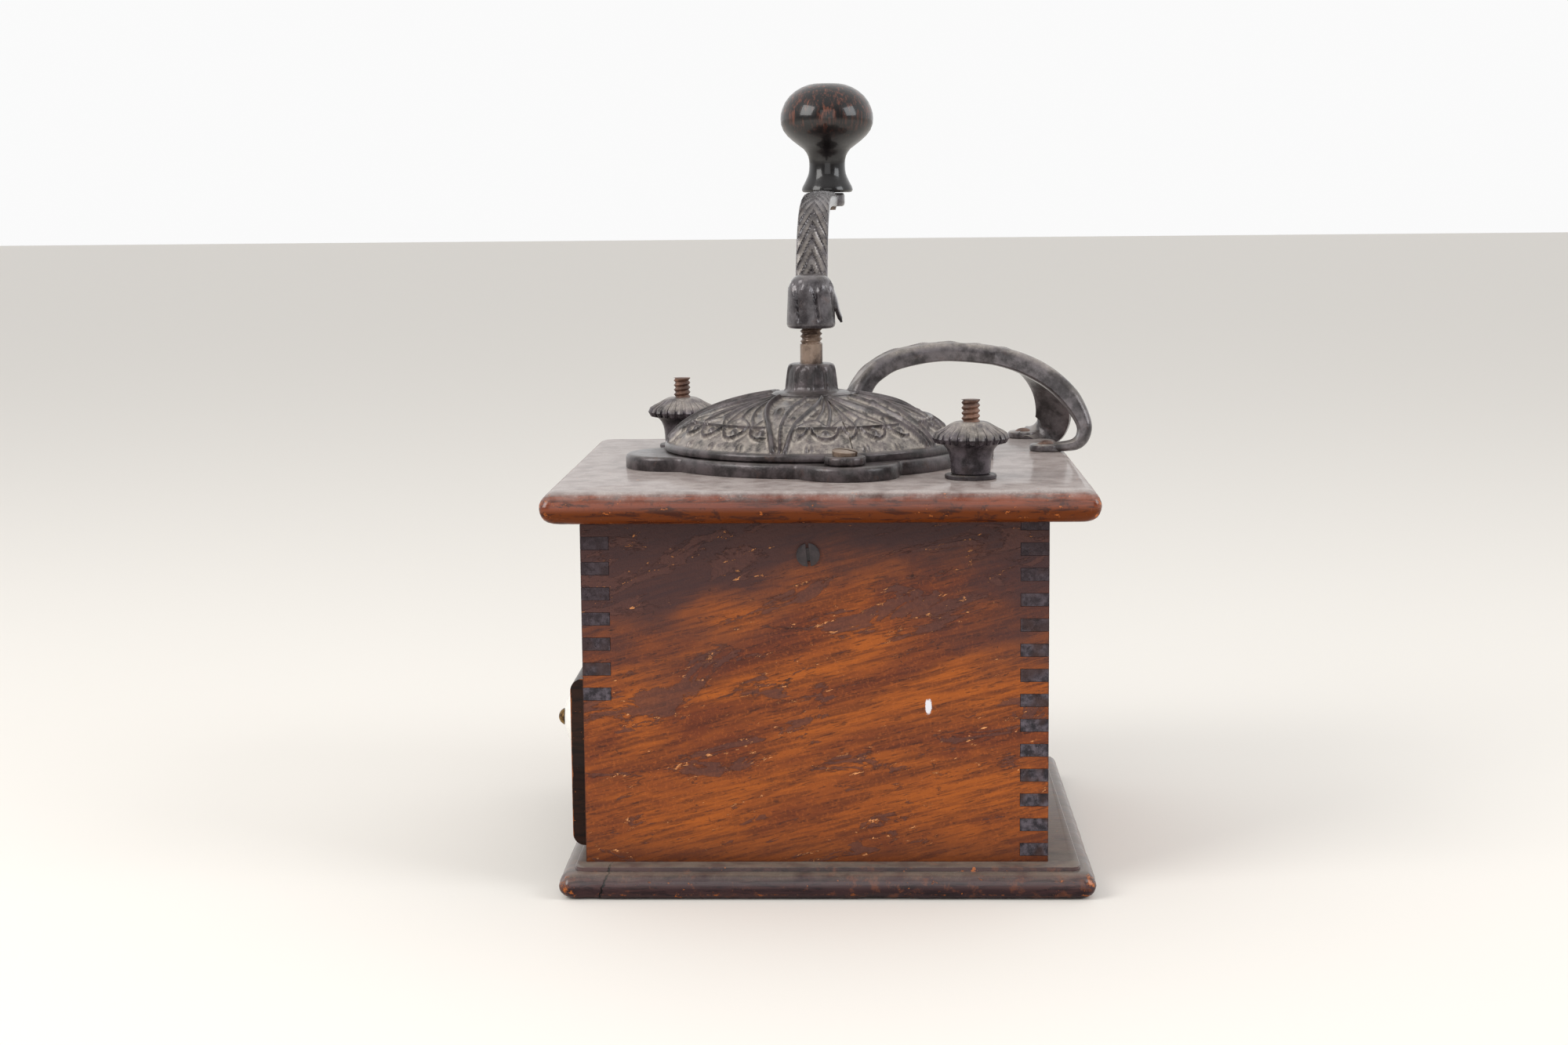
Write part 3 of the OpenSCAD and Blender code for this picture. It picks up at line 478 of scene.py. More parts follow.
# ---- Box sides --------------------------------------------------------------------
# Four thin boards of stained hardwood, finger-jointed at the corners and shellacked.
# The varnish has browned, crazed near the top, and flaked where hands held the mill.
box_lo = np.array(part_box("side_panel_left")[0]) / MM
box_hi = np.array(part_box("side_panel_right")[1]) / MM
paint_spot, spot_stretch = np.array([box_hi[0], 39.0, 62.0]), np.array([1.0, 1.0, 0.42])


def varnish_finish(name, side_axis, tilt):
    """Varnish over a board whose broad face looks along side_axis (0 for X, 1 for Y)."""
    finish, tree, shader = finish_of(name, Specular_IOR_Level=0.24, Coat_Roughness=0.3,
                                     Coat_Weight=0.08)
    where = place_mm(tree)
    lean = (math.radians(-tilt), 0, 0) if side_axis == 0 else (0, math.radians(tilt), 0)
    parts = axes(tree, place_mm(tree, lean))
    along = add(tree, "ShaderNodeCombineXYZ", X=parts[1 - side_axis], Y=parts[2],
                Z=parts[side_axis]).outputs[0]
    figure = use_group(tree, wood_figure, Vector=along)
    level = axes(tree, where)
    across = level[1] if side_axis == 0 else level[0]

    # Amber where the varnish is thin, red-brown where it is thick
    bands = cloud(tree, scaled(tree, along, (0.3, 1, 1)), 24, 4, 0.6, 0.8)
    tone = mix(tree, rise(tree, bands, 0.34, 0.62), colour(104, 46, 20), colour(160, 82, 22))
    tone = mix(tree, rise(tree, figure["Streak"], 0.4, 0.66, 0.65), tone, colour(72, 30, 16))
    tone = mix(tree, times(tree, figure["Pore"], 0.6), tone, colour(44, 18, 12))
    mottle = cloud(tree, where, 0.9, 3, 0.6)
    tone = mix(tree, rise(tree, mottle, 0.5, 0.7, 0.22), tone, colour(196, 104, 40))

    # Browned zone under the top board, deeper towards the drawer and at the back corner
    drift = cloud(tree, scaled(tree, along, (0.45, 1, 1)), 26, 4, 0.6)
    towards_ends = times(tree, math_node(tree, "ABSOLUTE", math_node(
        tree, "SUBTRACT", across, 12)), 0.0042)
    browned = math_node(tree, "ADD", times_plus(tree, drift, 1.25, -0.62), towards_ends)
    browned = math_node(tree, "ADD", browned, times_plus(tree, level[2], 0.0155, -1.42))
    browned = rise(tree, browned, -0.12, 0.5)
    tone = mix(tree, times(tree, browned, 0.93), tone, colour(58, 38, 40))
    foot = rise(tree, level[2], 24, 10, 0.55)
    tone = mix(tree, foot, tone, colour(70, 34, 22))

    # Crazed remains of the old dark coat, in torn patches that follow the grain
    torn = cloud(tree, scaled(tree, along, (0.3, 1, 1)), 10, 9, 0.68, 0.6)
    patches = rise(tree, times_plus(tree, browned, 0.03, torn), 0.575, 0.592)
    thin = rise(tree, cloud(tree, scaled(tree, along, (0.25, 1, 1)), 3.4, 6, 0.7, 0.3), 0.64, 0.655)
    coat = math_node(tree, "MAXIMUM", patches, thin)
    coat_tone = mix(tree, mottle, colour(58, 34, 34), colour(100, 62, 52))
    tone = mix(tree, times(tree, coat, 0.72), tone, coat_tone)

    # Flecks down to pale wood, thickest along the torn edges
    near_tear = times(tree, rise(tree, torn, 0.48, 0.565), rise(tree, torn, 0.63, 0.59))
    chip = cloud(tree, scaled(tree, along, (0.36, 1, 1)), 1.7, 6, 0.74, 0.3)
    flecks = rise(tree, times_plus(tree, near_tear, 0.09, chip), 0.695, 0.72)
    tone = mix(tree, flecks, tone, mix(tree, mottle, colour(214, 120, 62), colour(236, 176, 118)))
    from_spot = add(tree, "ShaderNodeMapping", Vector=where, Scale=tuple(spot_stretch),
                    Location=tuple(-paint_spot * spot_stretch)).outputs[0]
    spot = add(tree, "ShaderNodeVectorMath", {"operation": "LENGTH"},
               Vector=from_spot).outputs["Value"]
    spot = times_plus(tree, mottle, 1.2, spot)
    tone = mix(tree, rise(tree, spot, 1.75, 1.45), tone, colour(226, 224, 230))

    # End grain of the fingers that come through from the neighbouring boards
    end_on = math_node(tree, "ABSOLUTE", facing(tree)[1 - side_axis])
    end_grain = rise(tree, end_on, 0.8, 0.95)
    end_tone = mix(tree, rise(tree, cloud(tree, where, 2.4, 5, 0.7), 0.38, 0.66),
                   colour(34, 30, 36),
                   colour(92, 84, 92))
    browner = rise(tree, cloud(tree, where, 12, 2), 0.5, 0.62, 0.75)
    end_tone = mix(tree, browner, end_tone, colour(58, 36, 30))
    end_tone = mix(tree, times(tree, browned, 0.7), end_tone, colour(52, 38, 42))
    tone = mix(tree, end_grain, tone, end_tone)

    worn = use_group(tree, edge_wear, Vector=where, Centre=tuple((box_lo + box_hi) / 2),
                     Half_Size=tuple((box_hi - box_lo) / 2), Width=0.8)["Mask"]
    tone = mix(tree, rise(tree, worn, 0.45, 0.7, 0.6), tone, colour(46, 24, 20))
    crinkle = cloud(tree, where, 0.9, 4, 0.6, 0.4)
    height = times_plus(tree, coat, 0.35, times(tree, crinkle,
                                                times_plus(tree, browned, 0.5, 0.22)))
    height = times_plus(tree, flecks, -0.4, height)
    height = times_plus(tree, figure["Streak"], 0.12, height)
    rough = times_plus(tree, flecks, 0.35, times_plus(tree, browned, 0.1, 0.4))
    feed(tree, shader, Base_Color=tone, Roughness=times_plus(tree, end_grain, 0.2, rough),
         Normal=bumped(tree, height, 0.35))
    return finish


def dress(finish, *names):
    """Gives CAD parts a finish, in every material slot of their objects."""
    for name in names:
        for place in node[name].material_slots:
            place.material = finish


dress(varnish_finish("side_varnish", 0, 14), "side_panel_right", "side_panel_left")
dress(varnish_finish("front_and_back_varnish", 1, 4), "back_panel", "front_rail")


# ---- Top board --------------------------------------------------------------------
# A wide board with a half-round edge, bored for the hopper. Its face is dull with
# coffee dust; the rounded edge is glossy, and its lower half is painted a darker amber as painted
# shade.
top_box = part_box("top_board")
top_z = top_box[1][2] / MM
board_bottom = top_box[0][2] / MM
hole_r, recess_r, recess_z = 42, 47.3, top_z - 3.1
# body[3] is the darker amber painted on the lower half as painted shade; 0.9 is its
# painted_shade_share.
top_finish = board_finish(
    "top_board_wood", top_box,
    [colour(104, 46, 26), colour(124, 58, 28), colour(52, 24, 18), colour(98, 46, 13),
     colour(44, 24, 22)],
    0.9, colour(190, 104, 48), 1.1, colour(180, 170, 165), face_tone=colour(112, 88, 80),
    corner_wear=0.4)
top_plank = worn_board("top_plank", top_box, 3, top_finish, 0.55, seed=8,
                       hole=[(recess_r, top_z), (recess_r, recess_z), (hole_r, recess_z),
                             (hole_r, board_bottom)])
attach(top_plank, "case")
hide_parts("top_board")


# ---- Hopper cover -----------------------------------------------------------------
# Two cast-iron halves of one dome. The fixed half is cast with the lobed plate and the
# boss; the other swings on a screw. Interlaced stems, veined leaves and a border of
# small lunettes were moulded in the pattern, and coffee dust fills the hollows.
cast_skin, given, put = start_group(
    "cast_skin", [("Vector", "NodeSocketVector", None)],
    [("Grain", "NodeSocketFloat"), ("Tone", "NodeSocketFloat"), ("Rust", "NodeSocketFloat")])
g = cast_skin
pits = cloud(g, given["Vector"], 0.8, 4, 0.6)
lumps = cloud(g, given["Vector"], 3.5, 3, 0.55)
g.links.new(times_plus(g, lumps, 0.7, times(g, pits, 0.5)), put["Grain"])
g.links.new(cloud(g, given["Vector"], 7, 5, 0.65), put["Tone"])
g.links.new(rise(g, cloud(g, given["Vector"], 5, 6, 0.7, 0.4), 0.56, 0.7), put["Rust"])


def iron_finish(name, dark=colour(38, 32, 33), pale=colour(74, 66, 70), dust=0.35, hollow=False,
                gloss=0.42, rust=0.35, coat=0.12):
    """Old black casting: worn japan, a little rust, dust on top and in the hollows."""
    finish, tree, shader = finish_of(name, Coat_Weight=coat, Coat_Roughness=0.2)
    where = place_mm(tree)
    skin = use_group(tree, cast_skin, Vector=where)
    tone = mix(tree, rise(tree, skin["Tone"], 0.35, 0.65), dark, pale)
    tone = mix(tree, times(tree, skin["Rust"], rust), tone, colour(84, 56, 42))
    film = use_group(tree, dust_film, Vector=where, Amount=dust)["Mask"]
    if hollow:
        packed = add(tree, "ShaderNodeAttribute", {"attribute_name": "hollow"}).outputs["Fac"]
        patchy = rise(tree, cloud(tree, where, 3, 6, 0.75), 0.3, 0.62)
        packed = times(tree, packed, patchy, clamp=True)
        film = math_node(tree, "MAXIMUM", film, times(tree, packed, 0.95))
    tone = mix(tree, film, tone, colour(182, 172, 161))
    rough = times_plus(tree, film, 0.4, times_plus(tree, skin["Rust"], 0.15, gloss))
    feed(tree, shader, Base_Color=tone, Roughness=rough, Normal=bumped(tree, skin["Grain"], 0.22),
         Metallic=times_plus(tree, film, -0.3, 0.35))
    return finish


def bump_shape(distance, width):
    """Round-backed ridge: 1 on its line, 0 a width away."""
    t = np.clip(1 - np.abs(distance) / width, 0, 1)
    return t * t * (3 - 2 * t)


def relief(radius, angle, centre):
    """Height of the moulded pattern in millimetres at a radius and direction (degrees)."""
    turn = (angle - centre + 36) % 72 - 36
    arc_mm = radius * math.pi / 180
    stem_r = [13, 17, 26, 34, 40, 45, 49, 53]
    right_stem = np.interp(radius, stem_r, [30, 23, 15, 8.5, 4.4, 3.2, 2.6, 1.6])
    left_stem = np.interp(radius, stem_r, [-34, -30, -22, -14.5, -9, -5.6, -3.4, -1.6])
    middle = np.interp(radius, stem_r, [7, 4, -1, -2.6, -2.4, -1.2, 0, 0])
    rim_fade = np.clip((51.2 - radius) / 0.8, 0, 1) * np.clip((radius - 14.6) / 1.5, 0, 1)

    # Leaf veins fan out between the right stem of one motif and the left stem of the next
    span_turn = np.where(turn > right_stem, turn, turn + 72)
    start, end = right_stem, left_stem + 72
    share = (span_turn - start) / (end - start)
    in_fan = (share > 0) & (share < 1)
    bend = 0.10 * np.sin((radius - 14) / 28 * math.pi)
    veins = np.zeros_like(radius)
    for vein, weight in ((0.13, 0.8), (0.27, 1), (0.41, 0.8), (0.5, 1.15), (0.6, 0.8), (0.73, 1),
                         (0.87, 0.8)):
        lean = vein + (0.5 - vein) * bend * 1.6
        veins = np.maximum(veins, weight * bump_shape(
            (share - lean) * (end - start) * arc_mm, 0.85 + 0.012 * radius))
    reach = 41.2 - 5 * np.abs(np.sin(share * math.pi * 3.5))
    veins = veins * in_fan * np.clip((reach + 2.4 - radius) / 2.2, 0, 1)
    # Rounded leaf ends above the border, with a hollow between them
    ends = bump_shape(radius - (reach + 1.0), 1.3) * in_fan * (radius < 41)

    # Leaflets inside the cartouche between the stems
    inside = (turn < right_stem) & (turn > left_stem)
    leaflet = np.maximum(
        bump_shape(np.hypot((turn - (right_stem + middle) / 2) * arc_mm * 1.1,
                            (radius - 24.5) * 0.42), 1.9),
        bump_shape(np.hypot((turn - (left_stem + middle) / 2) * arc_mm, (radius - 31) * 0.34), 2.4))
    leaflet = np.maximum(leaflet, bump_shape(np.hypot(
        (turn - (right_stem + middle) / 2) * arc_mm, (radius - 36) * 0.5), 1.4)) * inside

    # Border: a raised line, hanging lunettes with a drop in each, cusps between them
    nearest = (angle - centre - 4.2 + 7.2) % 14.4 - 7.2
    across, down = nearest * arc_mm, radius - 42.6
    ring = bump_shape(np.hypot(across, down * 1.06) - 4.5, 0.85) * (down > -0.4)
    drop = bump_shape(np.hypot(across * 0.9, down - 1.4), 2.1)
    cusp = bump_shape(np.hypot((np.abs(across) - 5.4) * 1.6, (down - 7) * 0.8), 1.6)
    border_free = np.clip((np.abs(turn + 0.6) - 6.0) / 2.0, 0, 1)
    border = np.maximum.reduce([ring, drop * 0.8, cusp * 0.55]) * border_free
    line = bump_shape(radius - 42.3, 0.75) * np.clip((np.abs(turn + 1) - 5.5) / 2.0, 0, 1)

    stems = np.maximum.reduce([
        1.25 * bump_shape((turn - right_stem) * arc_mm, 1.5),
        1.35 * bump_shape((turn - left_stem) * arc_mm, 1.9),
        1.1 * bump_shape((turn - middle) * arc_mm, 1.05) * inside])
    height = np.maximum.reduce([veins * 0.85, ends * 0.55, leaflet * 0.9, border, line, stems])
    return (height * 1.55 - 0.9) * rim_fade


def hollow_of(height, rows, columns, spacing):
    """How deep in a hollow each point lies, from how much its surroundings rise above it."""
    field = height.reshape(rows, columns)
    around = np.zeros_like(field)
    for step in (1, 2, 3):
        padded = np.pad(field, step, mode="edge")
        for shift_r, shift_c in ((0, step), (2 * step, step), (step, 0), (step, 2 * step)):
            around += padded[shift_r:shift_r + rows, shift_c:shift_c + columns]
    return np.clip((around / 12 - field) * spacing, 0, 1).ravel()


plate_top = top_z + 5
rim_r, dome_foot, dome_top, dome_wall = 50.75, top_z + 2, top_z + 25, 3.0
dome_semi_r = 52.8
seam = 17.5


def dome_height(radius, inset=0.0):
    """Height of the dome's outside at a radius, or of its inside when inset by the wall."""
    share = np.clip(np.asarray(radius, float) / (dome_semi_r - inset), 0, 0.9999)
    return dome_foot + (dome_top - dome_foot - inset) * np.sqrt(1 - share ** 2)


def half_dome(from_angle, to_angle, flange_low, centre, inner_end):
    """Points and faces of half the dome: moulded outside, plain inside, closed at the seam."""
    columns = 440
    angles = np.linspace(from_angle, to_angle, columns)
    rim = [(48.0, flange_low), (51.7, flange_low), (52.0, flange_low + 0.35),
           (52.0, top_z + 7.0), (51.75, top_z + 7.6), (51.3, top_z + 7.95)]
    radii = np.concatenate([np.linspace(rim_r, 20, 92), np.linspace(19.6, inner_end, 14)])
    slope = np.gradient(dome_height(radii), radii)
    rows = len(radii)
    rr, aa = np.meshgrid(radii, angles, indexing="ij")
    height = relief(rr.ravel(), aa.ravel(), centre).reshape(rows, columns)
    lean = np.sqrt(1 + slope ** 2)[:, None]
    out_r = rr - height * slope[:, None] / lean
    out_z = dome_height(rr) + height / lean
    inner_radii = np.linspace(inner_end, 47.6, 16)
    profile_r = [np.full(columns, r) for r, _ in rim] + list(out_r) + \
                [np.full(columns, r) for r in inner_radii]
    profile_z = [np.full(columns, z) for _, z in rim] + list(out_z) + \
                [np.full(columns, float(dome_height(r, dome_wall))) for r in inner_radii]
    profile_r, profile_z = np.array(profile_r), np.array(profile_z)
    rad = np.radians(angles)
    verts = np.stack([profile_r * np.cos(rad), profile_r * np.sin(rad), profile_z], axis=2)
    total = len(profile_r)
    faces = grid_faces(total, columns, wrap_rows=True, wrap_columns=False)
    faces += [tuple(row * columns + column for row in range(total)) for column in (0, columns - 1)]
    hollow = np.zeros((total, columns))
    crevice = hollow_of(height.ravel(), rows, columns, 2.6).reshape(rows, columns)
    ground = np.clip((0.05 - height) / 0.65, 0, 1) * (radii < 51)[:, None]
    hollow[len(rim):len(rim) + rows] = np.clip(0.5 * ground + 0.8 * crevice, 0, 1)
    return verts.reshape(-1, 3), faces, hollow.ravel()


def join_shells(shells):
    """Several closed shells as one set of points, faces and hollows."""
    verts, faces, hollow, start = [], [], [], 0
    for shell_verts, shell_faces, shell_hollow in shells:
        verts.append(shell_verts)
        faces += [tuple(start + v for v in face) for face in shell_faces]
        hollow.append(shell_hollow)
        start += len(shell_verts)
    return np.concatenate(verts), faces, np.concatenate(hollow)


def turned_shell(profile, columns, shape=None):
    """Closed turned solid from (radius, z) points; shape may change the radius by angle."""
    rad = np.linspace(0, 2 * math.pi, columns, endpoint=False)
    r = np.array([p[0] for p in profile], float)[:, None] * np.ones(columns)
    z = np.array([p[1] for p in profile], float)[:, None] * np.ones(columns)
    if shape is not None:
        r = r + shape(r, z, rad[None, :])
    verts = np.stack([r * np.cos(rad), r * np.sin(rad), z], axis=2).reshape(-1, 3)
    faces = grid_faces(len(profile), columns)
    faces += [tuple(range(columns - 1, -1, -1)),
              tuple(range((len(profile) - 1) * columns, len(profile) * columns))]
    return verts, faces, np.zeros(len(verts))


def arches(count, depth, low, high):
    """Arched flutes round a turned part: hollow panels with round tops."""
    def shape(r, z, angle):
        cell = np.abs((angle * count / (2 * math.pi)) % 1 - 0.5) * 2
        climb = np.clip((z - low) / (high - low), 0, 1)
        top = np.sqrt(np.clip(1 - (np.clip(climb - 0.72, 0, 1) / 0.28) ** 2, 0, 1))
        edge = np.clip((0.86 * top - cell) / 0.22, 0, 1)
        return -depth * edge * edge * (3 - 2 * edge) * (z > low) * (z < high)
    return shape


plate_r, lobe_at, lobe_r = 54.0, 49, 17.5


def lobed_plate_shell():
    """The cover's flat plate: a round ring with four lobes, its outer edge rounded."""
    angles = np.radians(np.arange(0, 360, 0.75))
    outline = np.full(len(angles), plate_r)
    for lobe in np.radians([15, 105, 195, 285]):
        across, out = lobe_at * np.sin(angles - lobe), lobe_at * np.cos(angles - lobe)
        reach = out + np.sqrt(np.clip(lobe_r ** 2 - across ** 2, 0, None))
        on_lobe = (np.abs(across) < lobe_r) & (out > 0)
        outline = np.where(on_lobe, np.maximum(outline, reach), outline)
    outline = np.convolve(np.concatenate([outline[-2:], outline, outline[:2]]), np.full(5, 0.2),
                          "valid")
    rows = [(outline * 0 + 46, top_z), (outline - 0.3, top_z), (outline, top_z + 0.4),
            (outline, top_z + 3.7), (outline - 0.35, top_z + 4.55), (outline - 1.1, top_z + 4.95),
            (outline - 2.2, plate_top), (outline * 0 + 51.0, plate_top),
            (outline * 0 + 46, plate_top)]
    verts = np.concatenate([np.column_stack([r * np.cos(angles), r * np.sin(angles),
                                             np.full(len(angles), z)]) for r, z in rows])
    return verts, grid_faces(len(rows), len(angles), wrap_rows=True), np.zeros(len(verts))


def with_hollows(made, hollow):
    """Stores how hollow each point is, for the dust in the finish."""
    layer = made.data.attributes.new("hollow", "FLOAT", "POINT")
    layer.data.foreach_set("value", np.asarray(hollow, np.float32))
    return made


boss_profile = [(0.5, top_z + 21), (14.1, top_z + 21.2), (14.2, top_z + 24.3), (13.2, top_z + 24.9),
                (11.4, top_z + 25.15), (10.0, top_z + 25.4), (9.4, top_z + 26.2),
                (9.3, top_z + 27.2),
                (9.2, top_z + 28), (9.1, top_z + 29), (8.95, top_z + 30.2), (8.8, top_z + 31.4),
                (8.65, top_z + 32.4), (8.5, top_z + 33.2), (8.2, top_z + 34.1), (7.7, top_z + 34.7),
                (6.9, top_z + 35), (4.3, top_z + 35), (4.2, top_z + 34), (0.5, top_z + 34)]
boss_shell = turned_shell(boss_profile, 144, arches(9, 0.55, top_z + 25.6, top_z + 34.4))
crown_iron = iron_finish("crown_iron", hollow=True, dust=0.14, dark=colour(34, 28, 29),
                         pale=colour(84, 75, 77),
                         gloss=0.33, coat=0.3)
crown_verts, crown_faces, crown_hollow = join_shells([
    lobed_plate_shell(), half_dome(seam, seam + 180, plate_top - 0.4, -17.5, 11.0), boss_shell])
crown = with_hollows(piece_from("crown_casting", crown_verts, crown_faces, crown_iron, 0.9),
                     crown_hollow)
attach(crown, "case")
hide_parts("hopper_crown")

# The swinging half stops short of the collar, and ends in a tab under the pivot screw
pivot = (57.5 * math.cos(math.radians(12)), 57.5 * math.sin(math.radians(12)))
lid_low = plate_top + 0.3
gap_turn = 0.42
lid_verts, lid_faces, lid_hollow = half_dome(seam + 180 + gap_turn, seam + 360 - gap_turn, lid_low,
                                             -11.5, 14.6)
tab_profile = [(0.4, lid_low), (6.7, lid_low), (7.0, lid_low + 0.3), (7.0, lid_low + 2.2),
               (6.7, lid_low + 2.65), (6.0, lid_low + 2.8), (0.4, lid_low + 2.8)]


def tab_chips(r, z, angle):
    return -0.35 * np.clip(np.sin(angle * 5 + 1) + np.sin(angle * 11), 0, 2) * (r > 5)


tab_verts, tab_faces, tab_hollow = turned_shell(tab_profile, 60, tab_chips)
tab_verts = tab_verts + np.array([pivot[0], pivot[1], 0])
lid_verts, lid_faces, lid_hollow = join_shells([
    (lid_verts, lid_faces, lid_hollow), (tab_verts, tab_faces, tab_hollow)])
lid_iron = iron_finish("lid_iron", hollow=True, dust=0.12, dark=colour(32, 26, 27),
                       pale=colour(82, 73, 75),
                       gloss=0.33, coat=0.3)
lid = with_hollows(piece_from("lid_casting", lid_verts, lid_faces, lid_iron, 0.9), lid_hollow)
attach(lid, "lid")
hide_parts("hopper_lid")


# ---- Lid button and pivot screw ---------------------------------------------------
# A small iron button, riveted through the lid, turns it open. The tab of the lid turns
# on one slotted screw, whose head is scarred to bare metal.
def grown(name, tree, inputs, start=None):
    """Runs a geometry tree on an object and keeps the plain mesh that it makes."""
    made = bpy.data.objects.new(name, start or bpy.data.meshes.new(name))
    bpy.context.collection.objects.link(made)
    modifier = made.modifiers.new("grow", "NODES")
    modifier.node_group = tree
    for item in tree.interface.items_tree:
        if item.item_type == "SOCKET" and item.in_out == "INPUT" and item.name in inputs:
            modifier[item.identifier] = inputs[item.name]
    depsgraph = bpy.context.evaluated_depsgraph_get()
    mesh = bpy.data.meshes.new_from_object(made.evaluated_get(depsgraph))
    made.modifiers.clear()
    made.data = mesh
    mesh.name = name
    mesh.shade_smooth()
    mesh.set_sharp_from_angle(angle=0.7)
    return made


def start_tree(name, inputs):
    tree = bpy.data.node_groups.new(name, "GeometryNodeTree")
    for label, kind, value in inputs:
        socket = tree.interface.new_socket(label, in_out="INPUT", socket_type=kind)
        if value is not None:
            socket.default_value = value
    tree.interface.new_socket("Geometry", in_out="OUTPUT", socket_type="NodeSocketGeometry")
    return tree, tree.nodes.new("NodeGroupInput").outputs


def end_tree(tree, geometry, finish):
    """The tree's last two steps: instances made real, and the finish put on."""
    real = add(tree, "GeometryNodeRealizeInstances", Geometry=geometry).outputs[0]
    dressed = add(tree, "GeometryNodeSetMaterial", Geometry=real, Material=finish).outputs[0]
    tree.links.new(dressed, tree.nodes.new("NodeGroupOutput").inputs[0])


# Slotted screws: a turned head is slotted once, then set at each place in its direction
slotted_screws, given = start_tree("slotted_screws", [
    ("Geometry", "NodeSocketGeometry", None), ("Places", "NodeSocketObject", None),
    ("Slot Width", "NodeSocketFloat", 0.001), ("Slot Depth", "NodeSocketFloat", 0.001),
    ("Head Top", "NodeSocketFloat", 0.0014), ("Finish", "NodeSocketMaterial", None)])
t = slotted_screws
cutter_size = add(t, "ShaderNodeCombineXYZ", X=given["Slot Width"], Y=0.03,
                  Z=times(t, given["Slot Depth"], 2.0)).outputs[0]
cutter = add(t, "GeometryNodeMeshCube", Size=cutter_size).outputs[0]
cutter = add(t, "GeometryNodeTransform", Geometry=cutter, Translation=add(
    t, "ShaderNodeCombineXYZ", Z=given["Head Top"]).outputs[0]).outputs[0]
slotted = t.nodes.new("GeometryNodeMeshBoolean")
slotted.operation = "DIFFERENCE"
t.links.new(given["Geometry"], slotted.inputs[0])
t.links.new(cutter, slotted.inputs[1])
places = add(t, "GeometryNodeObjectInfo", Object=given["Places"]).outputs["Geometry"]
turns = t.nodes.new("GeometryNodeInputNamedAttribute")
turns.data_type = "FLOAT_VECTOR"
turns.inputs["Name"].default_value = "turn"
turned = add(t, "FunctionNodeEulerToRotation", Euler=turns.outputs["Attribute"]).outputs[0]
heads = add(t, "GeometryNodeInstanceOnPoints", Points=places, Instance=slotted.outputs[0],
            Rotation=turned).outputs[0]
end_tree(t, heads, given["Finish"])


def screws(name, head_r, head_h, shank_r, shank_l, places, finish, slot=1.0, flat=False):
    """Slotted screws of one size: places are (point under the head, direction, slot turn)."""
    dome = [(head_r * math.cos(a), head_h * (0.35 if not flat else 0.75) + head_h * (
        0.65 if not flat else 0.25) * math.sin(a)) for a in np.radians([0, 20, 40, 60, 80])]
    profile = [(0.25, -shank_l), (shank_r, -shank_l), (shank_r, 0),
               (head_r - 0.15, 0)] + dome + [(0.05, head_h)]
    verts, faces, _ = turned_shell(profile, 40)
    head = piece_from(name + "_head", verts, faces, finish)
    points = bpy.data.meshes.new(name + "_places")
    points.from_pydata([tuple(np.array(p) * MM) for p, _, _ in places], [], [])
    spots = bpy.data.objects.new(name + "_places", points)
    layer = points.attributes.new("turn", "FLOAT_VECTOR", "POINT")
    for i, (_, direction, twist) in enumerate(places):
        tilt = Vector(direction).to_track_quat("Z", "Y") @ Matrix.Rotation(
            math.radians(twist), 3, "Z").to_quaternion()
        layer.data[i].vector = tilt.to_euler()
    made = grown(name, slotted_screws, {
        "Places": spots, "Slot Width": slot * MM,
        "Slot Depth": head_h * (1.25 if flat else 0.6) * MM,
        "Head Top": head_h * MM, "Finish": finish}, head.data)
    bpy.data.objects.remove(head)
    bpy.data.objects.remove(spots)
    return made


button_verts, button_faces, _ = turned_shell(
    [(0.3, -3), (1.8, -3), (1.9, 0.2), (2.5, 0.8), (2.7, 1.7), (2.4, 2.7), (1.6, 3.3), (0.2, 3.5)],
    32)
button_at = (33 * math.cos(math.radians(205)), 33 * math.sin(math.radians(205)),
             float(dome_height(33)))
button = piece_from("lid_thumb_button", np.asarray(button_verts) + np.array(button_at),
                    button_faces,
                    iron_finish("button_iron", dust=0.15, gloss=0.35))
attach(button, "lid")
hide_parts("lid_button")
bare_iron = iron_finish("scarred_iron", dark=colour(80, 64, 54), pale=colour(138, 118, 102),
                        dust=0.3, gloss=0.45)
pivot_screw = screws("pivot_screw", 4.3, 2.0, 2.1, 7, [((pivot[0], pivot[1], lid_low + 2.9),
                                                        (0.10, 0.05, 1), 38)],
                     bare_iron, slot=1.2, flat=True)
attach(pivot_screw, "case")
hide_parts("lid_pivot_screw")


# ---- Side screws ------------------------------------------------------------------
# One big slotted wood screw on each side holds the box to the cleat under the top
# board. Their blued heads have gone nearly black.
side_x, side_z = box_hi[0], box_hi[2] - 11.5
dark_steel = iron_finish("blued_steel", dark=colour(36, 29, 32), pale=colour(58, 48, 50), dust=0.1,
                         gloss=0.36)
side_screws = screws("side_wood_screws", 3.85, 1.0, 2.1, 15, [
    ((side_x, 0, side_z), (1, 0, 0), 6), ((-side_x, 0, side_z), (-1, 0, 0), -20)], dark_steel,
    slot=1.0, flat=True)
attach(side_screws, "case")
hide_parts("side_screws")


